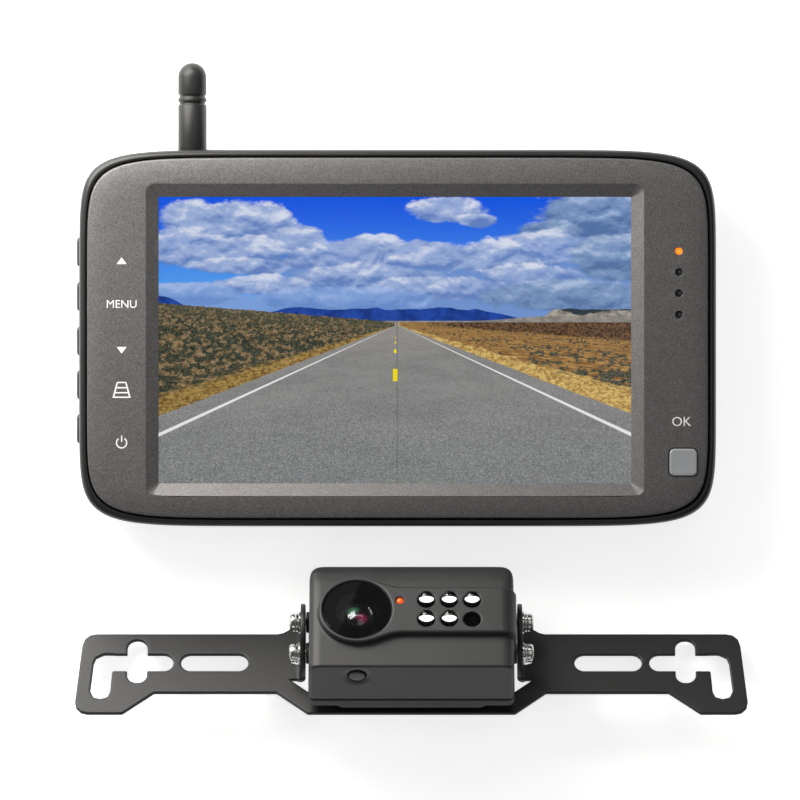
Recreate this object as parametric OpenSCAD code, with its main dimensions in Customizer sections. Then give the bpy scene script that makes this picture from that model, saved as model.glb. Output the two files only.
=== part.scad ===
// Wireless reversing camera kit: a 7 inch monitor lying on its back, and a
// licence plate camera on its bracket, lying in front of it.
// Row frame: X across the monitor, Y up the monitor's screen, Z out of the
// screen. Z = 0 is the table, and the origin is the middle of the monitor's back.

/* [Monitor] */
// Width of the monitor over its rim
mon_w = 205.6; // [204:0.2:207]
// Height of the monitor over its rim
mon_h = 121.6; // [120.6:0.2:123]
// Squareness of the outline's corners
mon_n = 9.4; // [8.6:0.2:10]
// Height of the bezel's front face above the table
mon_t = 26; // [26:0.2:27]
// Width of the rim seen round the bezel
rim_w = 2.4; // [2.2:0.1:2.6]
// Wall of the monitor's rear shell
shell_t = 2.2; // [2:0.1:2.4]
// Width of the visible picture
win_w = 152.4; // [151:0.2:154]
// Height of the visible picture
win_h = 92.4; // [91:0.2:93.4]
// Width of the sloped frame round the picture
slope_w = 3.9; // [3.4:0.1:4.2]
// Depth of the sloped frame
slope_d = 2.2; // [2:0.1:2.2]

/* [Keys] */
// Length of each side key
key_l = 9.3; // [8.6:0.1:10]
// Height of each side key
key_h = 4.6; // [4:0.1:5]
// How far a side key stands out of the shell
key_out = 1.0; // [0.8:0.1:1.4]
// Side of the square front key
ok_w = 8.9; // [8.4:0.1:9.2]

/* [Antenna] */
// Radius of the antenna's sleeve
ant_r = 4.6; // [4.2:0.1:4.6]
// Distance from the antenna's pivot to its tip
ant_l = 39.2; // [34:0.2:40]

/* [Bracket] */
// Sheet thickness of the plate bracket
br_t = 1.6; // [1.4:0.1:1.8]
// Width of the plate screw slots
slot_w = 6.4; // [6:0.1:6.6]
// Distance of the upright slots from the middle, half of 7 inches
plate_half = 88.9; // [88.4:0.1:89.4]
// Height of each arm
arm_h = 22.8; // [22:0.2:23.4]
// Radius of the ears
ear_r = 10.5; // [10.2:0.1:10.8]
// Angle at which the camera unit lies on the table
lie_deg = 35.5; // [35:0.5:36]

/* [Camera] */
// Half width of the camera housing
cam_hw = 33.4; // [32.8:0.1:33.5]
// Wall of the camera housing
cam_wall = 2; // [1.8:0.1:2.1]
// Radius of the round window over the lens
lens_r = 11.1; // [10.6:0.1:11.2]
// Radius of the lamps round the lens
led_r = 2.5; // [2.3:0.05:2.55]
// Spacing of the lamps
led_pitch = 7.35; // [7.05:0.05:7.4]

/* [Hidden] */

ha = mon_w / 2;
hb = mon_h / 2;
ba = ha - rim_w - 0.3;      // bezel outline
bb = hb - rim_w - 0.3;
rim_z = mon_t - 1.6;        // top of the shell's rim
win_cx = -0.85;
win_cy = -0.7;
keys_y = [27.9, 13.5, -0.9, -15.1, -29.3];
key_z = 14;
jack_y = -16;
ok_x = 92.1;
ok_y = -40.1;
lamp_x = 90.7;
lamps_y = [28.0, 21.2, 14.4, 7.5];
ant_x = -66.6;
ant_y = 50.2;
ant_z = 8.6;
ch_x0 = -72.2;              // antenna channel in the back
ch_x1 = -24;
ch_y0 = 44.7;
ch_z1 = 13.5;
screw_xy = [[-86.8, 48], [86.8, 48], [-86.8, -50], [86.8, -50]];
board_xy = [[-48, 30], [48, 30], [-48, -36], [48, -36]];
mount_xy = [[-19, 15], [19, 15], [-19, -15], [19, -15]];

// camera unit: local x right, y up the plate, z out of the lens
unit_x = 4.5;
unit_y = -96.9;
unit_z = 1.87;
ear_cz = 11.0;
ear_cy = -7.3;
ear_in = 34.2;
ear_out = ear_in + br_t;
piv_y = -2.6;
piv_z = 12.0;
lock_r = 12.0;              // lock screw below the pivot
body_y0 = -30.3;
body_y1 = 6.6;             // back edge of the top face
top_y = 11;                 // front edge of the top face
top_a = 17.8;               // lean of the top face
pair_z = 21.6;
seam_z = 8.4;
front_z = 28;
panel_z = 30.2;
lens_x = -17.5;
lens_y = -9.5;
led_x = [4.8, 4.8 + led_pitch, 4.8 + 2 * led_pitch];
led_y = [-6.1, -6.1 - led_pitch];

$fn = 64;

// ---------- shared shapes ----------
function sell(a, b, n, k = 72) = [for (i = [0 : k - 1])
  let (t = 360 * i / k, c = cos(t), s = sin(t))
  [a * sign(c) * pow(abs(c), 2 / n), b * sign(s) * pow(abs(s), 2 / n)]];

module outline(a, b) polygon(sell(a, b, mon_n));

module rrect(w, h, r) {
  square([w - 2 * r, h], center = true);
  square([w, h - 2 * r], center = true);
  for (sx = [-1, 1], sy = [-1, 1])
    translate([sx * (w / 2 - r), sy * (h / 2 - r)]) circle(r);
}

// rectangle from x0,y0 to x1,y1 with its own radius at the top and bottom corners
module body_rect(x, y0, y1, rt, rb) {
  translate([-x + rt, y0 + rb]) square([2 * x - 2 * rt, y1 - y0 - rb]);
  translate([-x, y0 + rb]) square([2 * x, y1 - y0 - rb - rt]);
  translate([-x + rb, y0]) square([2 * x - 2 * rb, rb + 1]);
  for (s = [-1, 1]) {
    translate([s * (x - rt), y1 - rt]) circle(rt);
    translate([s * (x - rb), y0 + rb]) circle(rb);
  }
}

module along_x(x0, x1, y, z, r) translate([x0, y, z]) rotate([0, 90, 0]) cylinder(h = x1 - x0, r = r);

module place_unit() translate([unit_x, unit_y, unit_z]) rotate([-lie_deg, 0, 0]) children();

// ---------- monitor ----------
// z runs the other way when a profile is laid along Y, so it is drawn for both
module slope_profile(h) polygon([[-h - slope_w, 0], [-h - slope_w, 1], [h + slope_w, 1], [h + slope_w, 0],
  [h, -slope_d], [h, -slope_d - 1], [-h, -slope_d - 1], [-h, -slope_d]]);

module front_bezel() color([0.36, 0.34, 0.33]) {
  difference() {
    union() {
      translate([0, 0, mon_t - slope_d]) linear_extrude(slope_d) outline(ba, bb);
      translate([0, 0, mon_t - 5.4]) linear_extrude(3.3) difference() {
        outline(ba, bb);
        outline(ba - 1.6, bb - 1.6);
      }
      for (p = screw_xy) translate([p[0], p[1], 9]) cylinder(h = mon_t - slope_d - 8.9, r = 2.7);
    }
    // window with four sloped sides
    translate([win_cx, win_cy, mon_t]) intersection() {
      extrude_y(-80, 80) slope_profile(win_w / 2);
      extrude_x(-100, 100) slope_profile(win_h / 2);
    }
    for (y = lamps_y) translate([lamp_x, y, mon_t - 4]) cylinder(h = 5, r = 1.2);
    translate([ok_x, ok_y, mon_t - 4]) linear_extrude(5) rrect(ok_w + 0.5, ok_w + 0.3, 1.9);
    for (p = screw_xy) translate([p[0], p[1], 8]) cylinder(h = 12, r = 1.3);
  }
}

module shell_outer() {
  translate([0, 0, 9]) linear_extrude(rim_z - 9) outline(ha, hb);
  hull() {
    translate([0, 0, 9]) linear_extrude(0.02) outline(ha, hb);
    translate([0, 0, 3]) linear_extrude(0.02) outline(ha - 7, hb - 7);
  }
  translate([0, -2, 0]) linear_extrude(3.2) rrect(136, 78, 9);
}

module rear_shell() color([0.13, 0.135, 0.135]) {
  difference() {
    shell_outer();
    difference() {
      union() {
        translate([0, 0, 9.6]) linear_extrude(20) outline(ha - rim_w, hb - rim_w);
        hull() {
          translate([0, 0, 9.5]) linear_extrude(0.2) outline(ha - rim_w, hb - rim_w);
          translate([0, 0, 3 + shell_t]) linear_extrude(0.02) outline(ha - 9.2, hb - 9.2);
        }
        translate([0, -2, shell_t]) linear_extrude(6) rrect(131.6, 73.6, 7);
      }
      // what stays inside: the antenna channel's walls, bosses and mount pads
      translate([ch_x0 - 1.7, ch_y0 - 1.7, -1]) cube([ch_x1 - ch_x0 + 3.4, 30, ch_z1 + 2.7]);
      for (p = screw_xy) translate([p[0], p[1], 0]) cylinder(h = 8.9, r = 3.4);
      for (p = board_xy) translate([p[0], p[1], 0]) cylinder(h = 8.9, r = 3);
      for (p = mount_xy) translate([p[0], p[1], 0]) cylinder(h = 8, r = 4.4);
      translate([70, -30, 0]) difference() { cylinder(h = 8, r = 16); translate([0, 0, -1]) cylinder(h = 10, r = 14.3); }
    }
    translate([ch_x0, ch_y0, -2]) cube([ch_x1 - ch_x0, 30, ch_z1 + 2]);
    translate([ant_x, ant_y, 10]) cylinder(h = 12, r = 1.53);
    for (p = screw_xy) {
      translate([p[0], p[1], -1]) cylinder(h = 6.2, r = 2.6);
      translate([p[0], p[1], 0]) cylinder(h = 10, r = 1.4);
    }
    for (p = board_xy) translate([p[0], p[1], 3]) cylinder(h = 7, r = 1.15);
    for (p = mount_xy) translate([p[0], p[1], -1]) cylinder(h = 7.5, r = 2.8);
    for (i = [-3 : 3]) translate([70, -30 + i * 3, -1])
      linear_extrude(8) rrect(2 * sqrt(144 - 9 * i * i), 1.2, 0.55);
    for (y = keys_y) translate([-ha - 2, y, key_z]) rotate([0, 90, 0])
      linear_extrude(8) rrect(key_h + 0.4, key_l + 0.4, 1.5);
    along_x(ha - 6, ha + 3, jack_y, 14, 4.2);
  }
}

module screen_glass() color([0.05, 0.06, 0.07])
  translate([win_cx, win_cy, 22.9]) linear_extrude(0.85) rrect(win_w + 4, win_h + 4, 1.5);

module screen_gasket() color([0.06, 0.06, 0.06])
  translate([win_cx, win_cy, 22.4]) linear_extrude(0.45) difference() {
    rrect(win_w + 6, win_h + 6, 1.5);
    rrect(win_w + 1, win_h + 1, 0.8);
  }

module lcd_panel() color([0.1, 0.11, 0.14])
  translate([win_cx, win_cy, 20.4]) linear_extrude(1.95) square([162, 101], center = true);

module backlight_tray() color([0.72, 0.73, 0.74])
  translate([win_cx, win_cy, 16.4]) difference() {
    linear_extrude(3.95) square([164.6, 103.6], center = true);
    translate([0, 0, 1]) linear_extrude(4) square([160, 99], center = true);
  }

module main_board() color([0.05, 0.3, 0.16]) {
  difference() {
    translate([0, -3, 9]) linear_extrude(1.5) rrect(108, 76, 2);
    for (p = board_xy) translate([p[0], p[1], 8]) cylinder(h = 4, r = 1.5);
  }
  translate([-30, -16, 10.5]) cube([16, 14, 1.4]);
  translate([20, -20, 10.5]) cube([10, 10, 1.2]);
  translate([-8, 22, 10.5]) cube([26, 5, 2.2]);
  translate([30, 8, 10.5]) cube([7, 7, 3]);
  translate([40, -24, 10.5]) cylinder(h = 4, r = 3);
}

module radio_shield() color([0.75, 0.75, 0.76])
  translate([-36, 12, 10.55]) difference() {
    linear_extrude(3) rrect(28, 20, 1);
    translate([0, 0, -0.5]) linear_extrude(3.1) rrect(27, 19, 0.8);
  }

module side_key_board() color([0.05, 0.3, 0.16])
  translate([-95.2, -36, 9.5]) cube([1.2, 71, 9.5]);

module side_key_switches() color([0.2, 0.2, 0.2])
  for (y = keys_y) translate([-97.2, y - 2.25, key_z - 2.25]) cube([2, 4.5, 4.5]);

module side_key(y) color([0.12, 0.12, 0.125]) translate([0, y, key_z]) {
  translate([-ha - key_out, 0, 0]) rotate([0, 90, 0])
    linear_extrude(3.6) rrect(key_h, key_l, 1.4);
  translate([-100.2, 0, 0]) rotate([0, 90, 0]) linear_extrude(0.8) rrect(key_h + 2, key_l + 2, 1.5);
  along_x(-99.5, -98, 0, 0, 1.4);
}

module front_key_board() color([0.05, 0.3, 0.16]) difference() {
  translate([84.6, -46, 16.2]) cube([12.2, 78, 1.2]);
  translate([86.3, jack_y - 6, 15]) cube([12, 12, 4]);
}

module ok_switch() color([0.2, 0.2, 0.2]) {
  translate([ok_x - 3, ok_y - 3, 17.4]) cube([6, 6, 2.6]);
  translate([ok_x, ok_y, 19.9]) cylinder(h = 0.7, r = 1.7);
}

module ok_key() color([0.55, 0.58, 0.59]) translate([ok_x, ok_y, 0]) {
  translate([0, 0, 23.2]) linear_extrude(mon_t + 0.3 - 23.2) rrect(ok_w, ok_w - 0.1, 1.7);
  translate([0, 0, 22.8]) linear_extrude(0.8) rrect(ok_w + 1.8, ok_w + 1.8, 2);
  translate([0, 0, 21.2]) cylinder(h = 1.8, r = 1.6);
}

module lamp_pipe(y) translate([lamp_x, y, 0]) {
  translate([0, 0, 17.4]) cylinder(h = mon_t - 0.5 - 17.4, r = 1.05);
  translate([-1.6, -1.2, 17.4]) cube([3.2, 2.4, 2.2]);
}
module indicator_lamp_amber() color([1, 0.5, 0.05]) lamp_pipe(lamps_y[0]);
module indicator_lamps_dark() color([0.2, 0.21, 0.22])
  for (i = [1 : 3]) lamp_pipe(lamps_y[i]);

module speaker() color([0.2, 0.2, 0.21]) translate([70, -30, 5.4]) {
  difference() { cylinder(h = 2, r = 14); translate([0, 0, -1]) cylinder(h = 1.8, r = 11.5); }
  translate([0, 0, 2]) cylinder(h = 3, r = 8);
}

module power_jack() color([0.08, 0.08, 0.08]) {
  difference() {
    union() {
      translate([86.5, jack_y - 5.2, 9]) cube([11, 10.4, 10]);
      along_x(97.4, ha - 0.2, jack_y, 14, 4.0);
    }
    along_x(90, ha + 3, jack_y, 14, 2.9);
  }
  along_x(89.9, ha - 2, jack_y, 14, 1.0);
}

module case_screws() color([0.2, 0.2, 0.2])
  for (p = screw_xy) translate([p[0], p[1], 0]) difference() {
    union() {
      translate([0, 0, 3.2]) cylinder(h = 1.9, r = 2.3);
      translate([0, 0, 5]) cylinder(h = 13.5, r = 1.2);
    }
    for (a = [0, 90]) rotate([0, 0, a]) translate([-1.3, -0.3, 3.1]) cube([2.6, 0.6, 1.1]);
  }

module board_screws() color([0.7, 0.7, 0.7])
  for (p = board_xy) translate([p[0], p[1], 0]) {
    translate([0, 0, 10.55]) cylinder(h = 1.4, r = 2.3);
    translate([0, 0, 4]) cylinder(h = 6.6, r = 1.05);
  }

module mount_inserts() color([0.78, 0.62, 0.3])
  for (p = mount_xy) translate([p[0], p[1], 0]) difference() {
    cylinder(h = 6.4, r = 2.78);
    translate([0, 0, -1]) cylinder(h = 8, r = 1.65);
  }

// ---------- antenna ----------
module antenna_pin() color([0.6, 0.6, 0.6]) translate([ant_x, ant_y, 0]) difference() {
  union() {
    translate([0, 0, 3.2]) cylinder(h = 11.9, r = 1.5);
    translate([0, 0, 2.4]) cylinder(h = 1.0, r = 2.8);
  }
  translate([-3, -0.3, 2.3]) cube([6, 0.6, 0.5]);
}

module antenna_knuckle() color([0.12, 0.125, 0.125]) translate([ant_x, ant_y, 0]) difference() {
  union() {
    translate([0, 0, 4]) cylinder(h = 9.2, r = ant_r);
    translate([-ant_r, 0, 4]) cube([2 * ant_r, 5.2, 9.2]);
  }
  translate([0, 0, 3]) cylinder(h = 12, r = 1.55);
  translate([0, 2.2, ant_z]) rotate([-90, 0, 0]) cylinder(h = 4, r = 0.75);
}

// straight part, two grooves with a bead between them, and a round tip
module antenna_sleeve() color([0.13, 0.135, 0.135])
  translate([ant_x, ant_y, ant_z]) rotate([-90, 0, 0]) rotate_extrude()
    difference() {
      union() {
        translate([0, 5.25]) square([ant_r, ant_l - ant_r - 5.25]);
        intersection() {
          translate([0, ant_l - ant_r]) circle(ant_r);
          translate([0, ant_l - ant_r]) square([ant_r + 1, ant_r + 1]);
        }
      }
      translate([-1, 5]) square([1.75, ant_l - ant_r - 5]);
      translate([ant_r + 0.1, 26.0]) circle(0.55);
      translate([ant_r + 0.1, 28.3]) circle(0.55);
    }

module antenna_element() color([0.8, 0.6, 0.3])
  translate([ant_x, ant_y + 2.4, ant_z]) rotate([-90, 0, 0]) cylinder(h = ant_l - ant_r - 4, r = 0.7);

module antenna_coax() color([0.1, 0.1, 0.1]) {
  translate([-60, 24, 14.6]) rotate([-90, 0, 0]) cylinder(h = 18.9, r = 0.6);
  translate([-56, 24, 14.6]) rotate([0, 0, 180]) rotate_extrude(angle = 90) translate([4, 0]) circle(0.6);
  along_x(-56, -46, 20, 14.6, 0.6);
  translate([-46, 20, 13.6]) cylinder(h = 1.8, r = 1.5);
}

// ---------- plate bracket ----------
module half_plate() {
  difference() {
    union() {
      polygon([[0, -30.8], [33.5, -30.8], [43.6, -arm_h], [83.2, -arm_h], [93.4, -30.8],
        [104.6, -30.8], [104.6, -26], [108.75, -26.3], [106.9, -4.6], [102, -4.6], [102.2, 0], [43.4, 0],
        [36.6, 3.2], [ear_in + 0.2, 3.2], [ear_in + 0.2, -17.8], [39.3, -17.8], [33.3, -22.5], [0, -22.5]]);
      translate([104.4, -26.4]) circle(4.4);
      translate([102.25, -4.7]) circle(4.7);
    }
    // bend relief beside the ear
    polygon([[ear_out - 0.4, -3.0], [39.1, -5.2], [39.1, -11.2], [ear_out - 0.4, -12.4]]);
    // long slot
    translate([63.8, -11.2]) rrect(21.8, slot_w, slot_w / 2 - 0.01);
    // cross slot with a leg at its outer end
    translate([77.2 + slot_w / 2, -11.2 - slot_w / 2]) square([100 - 77.2 - slot_w / 2, slot_w]);
    translate([77.2 + slot_w / 2, -11.2]) circle(slot_w / 2);
    translate([plate_half - 3.1, -15.9]) square([6.2, 10.4]);
    translate([plate_half + 0.1, -5.5]) circle(3.1);
    translate([plate_half - 0.1, -15.9]) circle(3.1);
    difference() {
      polygon([[96.6, -8], [102.9, -8], [103.9, -22.2], [97.5, -22.2]]);
      difference() { translate([99.2, -12]) square([6, 6]); translate([99.0, -12.2]) circle(4.2); }
    }
    translate([100.7, -22.0]) circle(3.2);
  }
}

module ear_2d() difference() {
  union() {
    translate([0, ear_cy - ear_r]) square([ear_cz, 2 * ear_r]);
    translate([ear_cz, ear_cy]) circle(ear_r);
  }
  translate([piv_z, piv_y]) circle(1.56);
  // arc slot for the lock screw: from one degree behind it to 21 in front
  translate([piv_z, piv_y]) {
    intersection() {
      difference() { circle(lock_r + 1.65); circle(lock_r - 1.65); }
      polygon([[0, 0], [-30 * sin(1), -30 * cos(1)], [30 * sin(10), -30 * cos(10)], [30 * sin(21), -30 * cos(21)]]);
    }
    for (a = [-1, 21]) translate([lock_r * sin(a), -lock_r * cos(a)]) circle(1.65);
  }
}

module plate_bracket() color([0.15, 0.155, 0.155]) place_unit() {
  linear_extrude(br_t) { half_plate(); mirror([1, 0]) half_plate(); }
  for (s = [0, 1]) mirror([s, 0, 0]) translate([ear_in, 0, 0])
    rotate([90, 0, 90]) linear_extrude(br_t) ear_local();
}
// the ear's flat drawing has z along its first axis; swap it for the extrusion
module ear_local() rotate(90) mirror([0, 1]) ear_2d();

// ---------- camera ----------
// side view of the body, i inside its skin
module side_profile(i) polygon([[-4, body_y0 + i], [27.3 - i, body_y0 + i], [27.8 - i, body_y0 + 0.2 + i], [front_z - i, body_y0 + 0.7 + i],
  [front_z - i, -2], [27.7 - i, 3], [27.0 - i, 7 - i * 0.5], [26.0 - i * 0.9, 9.6 - i * 0.9], [24.6 - i * 0.7, top_y - 0.2 - i], [23 - i * 0.5, top_y - i], [-4, top_y - i]]);

module plan_profile(x, zf, r) {
  translate([-x, -5]) square([2 * x, zf + 5 - r]);
  translate([-x + r, -5]) square([2 * x - 2 * r, zf + 5]);
  for (s = [-1, 1]) translate([s * (x - r), zf - r]) circle(r);
}

module extrude_y(y0, y1) translate([0, y1, 0]) rotate([90, 0, 0]) linear_extrude(y1 - y0) children();
module extrude_x(x0, x1) translate([x0, 0, 0]) rotate([90, 0, 90]) linear_extrude(x1 - x0) children();

module camera_solid(inset, zf) intersection() {
  translate([0, 0, -2]) linear_extrude(40) body_rect(cam_hw - inset, body_y0 + inset, top_y - inset, 6.4 - inset, 2.2 - inset * 0.9);
  // the top face leans back to the rear cover
  translate([0, body_y1, seam_z]) rotate([-top_a, 0, 0]) translate([0, 0, -20]) linear_extrude(50)
    body_rect(cam_hw - inset, -60, -inset, 5.3 - inset, 0.1);
  extrude_y(-40, 20) plan_profile(cam_hw - inset, zf - inset, 4.5 - inset);
  extrude_x(-40, 40) rotate(90) mirror([0, 1]) side_profile(inset);
}

module keyhole(g = 0) {
  translate([lens_x, lens_y]) {
    circle(12.5 - g);
    translate([0, -8.85 + g]) square([60, 17.7 - 2 * g]);
    for (s = [0, 1]) mirror([0, s]) difference() {
      polygon([[0, 0], [7.12, 10.25 - g], [11.68, 10.3 - g], [11.68, 0]]);
      translate([11.68, 16.85]) circle(8 + g);
    }
  }
}

module camera_front_housing() color([0.2, 0.205, 0.21]) place_unit() difference() {
  union() {
    difference() {
      union() {
        camera_solid(0, front_z);
        intersection() {
          translate([0, 0, 20]) linear_extrude(panel_z - 20) keyhole();
          extrude_y(-40, 20) plan_profile(cam_hw + 0.4, panel_z, 5);
        }
      }
      difference() {
        camera_solid(cam_wall, front_z);
        // bosses left standing inside
        for (sx = [-1, 1], y = [1.2, -25.2]) translate([sx * 27.4, y, 0]) cylinder(h = 40, r = 2.6);
        for (sx = [0, 1], y = [piv_y, piv_y - lock_r]) mirror([sx, 0, 0])
          along_x(27, cam_hw, y, piv_z, 2.9);
      }
      translate([-50, -50, -10]) cube([100, 100, 10 + seam_z]);
    }
    for (sx = [0, 1], y = [piv_y, piv_y - lock_r]) mirror([sx, 0, 0])
      along_x(cam_hw - 0.5, ear_in - 0.1, y, piv_z, 3.4);
  }
  // round window seat and lens opening
  translate([lens_x, lens_y, 28.9]) cylinder(h = 3, r = lens_r);
  translate([lens_x, lens_y, 20]) cylinder(h = 10, r = 9.2);
  // lamps, light sensor, status lamp
  for (x = led_x, y = led_y) translate([x, y, 20]) cylinder(h = 12, r = led_r + 0.3);
  translate([-3.7, led_y[0], 20]) cylinder(h = 12, r = 1.35);
  // pairing button
  translate([lens_x, body_y0 - 2, pair_z]) rotate([-90, 0, 0]) cylinder(h = 6, r = 3.1);
  for (sx = [-1, 1], y = [1.2, -25.2]) translate([sx * 27.4, y, 0]) cylinder(h = 17, r = 1.2);
  for (sx = [0, 1], y = [piv_y, piv_y - lock_r]) mirror([sx, 0, 0]) {
    along_x(26.5, 33.05, y, piv_z, 2.32);
    along_x(26.5, 40, y, piv_z, 1.65);
  }
}

module camera_rear_cover() color([0.17, 0.175, 0.18]) place_unit() difference() {
  union() {
    intersection() {
      translate([0, 0, 4.6]) linear_extrude(seam_z - 0.05 - 4.6)
        body_rect(cam_hw - 0.1, body_y0 + 0.1, body_y1 - 0.1, 5.5, 2.1);
      extrude_y(-40, 20) translate([0, 0]) square([70, 60], center = true);
    }
    translate([0, -11.8, 3.0]) linear_extrude(2) rrect(50, 36.4, 3);
  }
  translate([0, 0, 6.6]) linear_extrude(5)
    body_rect(cam_hw - 2.2, body_y0 + 2.2, body_y1 - 2.2, 3.4, 0.4);
  translate([0, -11.8, 5]) linear_extrude(5) rrect(46, 32.4, 1);
  translate([0, -12, -1]) cylinder(h = 10, r = 3.05);
  for (sx = [-1, 1], y = [1.2, -25.2]) translate([sx * 27.4, y, 0]) {
    cylinder(h = 12, r = 1.3);
    cylinder(h = 5.8, r = 2.3);
  }
}

module housing_seal() color([0.05, 0.05, 0.05]) place_unit()
  translate([0, 0, seam_z]) linear_extrude(0.6) difference() {
    body_rect(cam_hw - 2.05, body_y0 + 2.05, body_y1 - 2.35, 3.5, 0.6);
    body_rect(cam_hw - 3.05, body_y0 + 3.05, body_y1 - 3.35, 2.5, 0.3);
    for (sx = [-1, 1], y = [1.2, -25.2]) translate([sx * 27.4, y]) circle(2.65);
  }

module lens_window() color([0.03, 0.03, 0.035]) place_unit()
  translate([lens_x, lens_y, 28.95]) cylinder(h = 0.85, r = lens_r - 0.06);

module lens_hood_ring() color([0.06, 0.06, 0.065]) place_unit()
  translate([lens_x, lens_y, 0]) difference() {
    union() {
      translate([0, 0, 26.9]) cylinder(h = 1.9, r = 9.1);
      translate([0, 0, 25.2]) cylinder(h = 1.8, r = 7.6);
    }
    translate([0, 0, 24]) cylinder(h = 6, r = 6.35);
  }

module lens_barrel() color([0.05, 0.05, 0.055]) place_unit()
  translate([lens_x, lens_y, 0]) difference() {
    union() {
      translate([0, 0, 12.9]) cylinder(h = 3.4, r = 8);
      translate([0, 0, 16.2]) cylinder(h = 11.4, r = 6.25);
    }
    translate([0, 0, 25.2]) cylinder(h = 5, r = 5.0);
    translate([0, 0, 22]) cylinder(h = 5, r = 4.2);
    translate([0, 0, 12]) cylinder(h = 11, r = 3.6);
    translate([-4, -4, 12]) cube([8, 8, 2.6]);
  }

module lens_front_element() color([0.15, 0.2, 0.22]) place_unit()
  translate([lens_x, lens_y, 25.25]) difference() {
    union() {
      cylinder(h = 0.8, r = 4.95);
      intersection() {
        translate([0, 0, -1.4]) sphere(4.4);
        translate([-5, -5, 0.5]) cube([10, 10, 5]);
      }
    }
    translate([0, 0, -3.6]) sphere(4.2);
  }

module lens_rear_element() color([0.2, 0.25, 0.28]) place_unit()
  translate([lens_x, lens_y, 16.5]) cylinder(h = 2, r = 3.55);

module image_sensor_board() color([0.05, 0.3, 0.16]) place_unit() {
  translate([lens_x, lens_y, 11.6]) linear_extrude(1.2) rrect(17, 18, 1);
  translate([lens_x, lens_y, 12.8]) linear_extrude(1) square([6.4, 5.4], center = true);
}

module infrared_board() color([0.05, 0.3, 0.16]) place_unit()
  translate([10.6, -10, 22]) linear_extrude(1.2) rrect(34.4, 17, 1);

module led(x, y) translate([x, y, 23.2]) {
  cylinder(h = 1, r = led_r + 0.4);
  cylinder(h = 8, r = led_r);
  intersection() { translate([0, 0, 8]) sphere(led_r); cylinder(h = 20, r = 5); }
}
module infrared_leds() color([0.85, 0.87, 0.9]) place_unit() {
  led(led_x[0], led_y[0]);
  led(led_x[1], led_y[0]);
  led(led_x[2], led_y[0]);
  led(led_x[0], led_y[1]);
  led(led_x[1], led_y[1]);
}

module light_sensor() color([0.08, 0.09, 0.1]) place_unit()
  translate([led_x[2], led_y[1], 23.25]) cylinder(h = 6.5, r = 2.55);

module status_lamp() color([1, 0.36, 0.05]) place_unit()
  translate([-3.7, led_y[0], 23.25]) { cylinder(h = 5.9, r = 1.2);
    intersection() { translate([0, 0, 5.9]) sphere(1.2); cylinder(h = 12, r = 2); } }

module transmitter_board() color([0.05, 0.3, 0.16]) place_unit() {
  translate([10.4, -11.8, 13.6]) linear_extrude(1.2) rrect(24, 30, 1);
  translate([16, -24, 14.8]) cube([8, 6, 1.2]);
}

module transmitter_shield() color([0.75, 0.75, 0.76]) place_unit()
  translate([9, -5, 14.85]) linear_extrude(2.2) rrect(19, 14, 0.8);

module pair_button() color([0.17, 0.175, 0.19]) place_unit()
  translate([lens_x, 0, pair_z]) rotate([-90, 0, 0]) {
    translate([0, 0, body_y0 + 0.3]) cylinder(h = 2.6, r = 2.6);
    translate([0, 0, -28.2]) cylinder(h = 0.8, r = 3.7);
  }

module pair_switch() color([0.25, 0.25, 0.25]) place_unit() {
  translate([lens_x - 2.25, -26.6, pair_z - 2.25]) cube([4.5, 2.2, 4.5]);
  translate([lens_x - 6, -24.35, pair_z - 4]) cube([12, 1, 7]);
}

module cable_gland() color([0.07, 0.07, 0.07]) place_unit()
  translate([0, -12, 0]) difference() {
    union() {
      translate([0, 0, -0.2]) cylinder(h = 3.15, r = 5.6);
      translate([0, 0, -8]) cylinder(h = 7.9, r = 4);
      translate([0, 0, 2.9]) cylinder(h = 5, r = 3);
    }
    translate([0, 0, -9]) cylinder(h = 20, r = 1.9);
  }

module each_tilt_screw() for (sx = [0, 1], y = [piv_y, piv_y - lock_r]) mirror([sx, 0, 0])
  translate([0, y, piv_z]) rotate([0, 90, 0]) children();

module side_inserts() color([0.78, 0.62, 0.3]) place_unit() each_tilt_screw()
  translate([0, 0, 27.3]) difference() {
    cylinder(h = 5.6, r = 2.3);
    translate([0, 0, -1]) cylinder(h = 8, r = 1.54);
  }

module tilt_screws() color([0.8, 0.8, 0.78]) place_unit() each_tilt_screw() difference() {
  union() {
    translate([0, 0, 28]) cylinder(h = 9.8, r = 1.5);
    translate([0, 0, 37.6]) cylinder(h = 1.5, r = 3);
    translate([0, 0, 39.1]) cylinder(h = 0.5, r = 2.5);
  }
  for (a = [0, 90]) rotate([0, 0, a]) translate([-1.6, -0.35, 38.4]) cube([3.2, 0.7, 2]);
}

module spring_washers() color([0.8, 0.8, 0.78]) place_unit() each_tilt_screw()
  translate([0, 0, 36.55]) difference() {
    cylinder(h = 1.0, r = 3.1);
    translate([0, 0, -1]) cylinder(h = 3, r = 1.62);
    translate([0, -0.3, -1]) cube([5, 0.6, 3]);
  }

module flat_washers() color([0.8, 0.8, 0.78]) place_unit() each_tilt_screw()
  translate([0, 0, ear_out + 0.1]) difference() {
    cylinder(h = 0.6, r = 3.6);
    translate([0, 0, -1]) cylinder(h = 3, r = 1.62);
  }

module cover_screws() color([0.5, 0.5, 0.5]) place_unit()
  for (sx = [-1, 1], y = [1.2, -25.2]) translate([sx * 27.4, y, 0]) difference() {
    union() {
      translate([0, 0, 4.7]) cylinder(h = 1.1, r = 2.1);
      translate([0, 0, 5.7]) cylinder(h = 10, r = 1.15);
    }
    for (a = [0, 90]) rotate([0, 0, a]) translate([-1.1, -0.25, 4.6]) cube([2.2, 0.5, 0.7]);
  }

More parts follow.
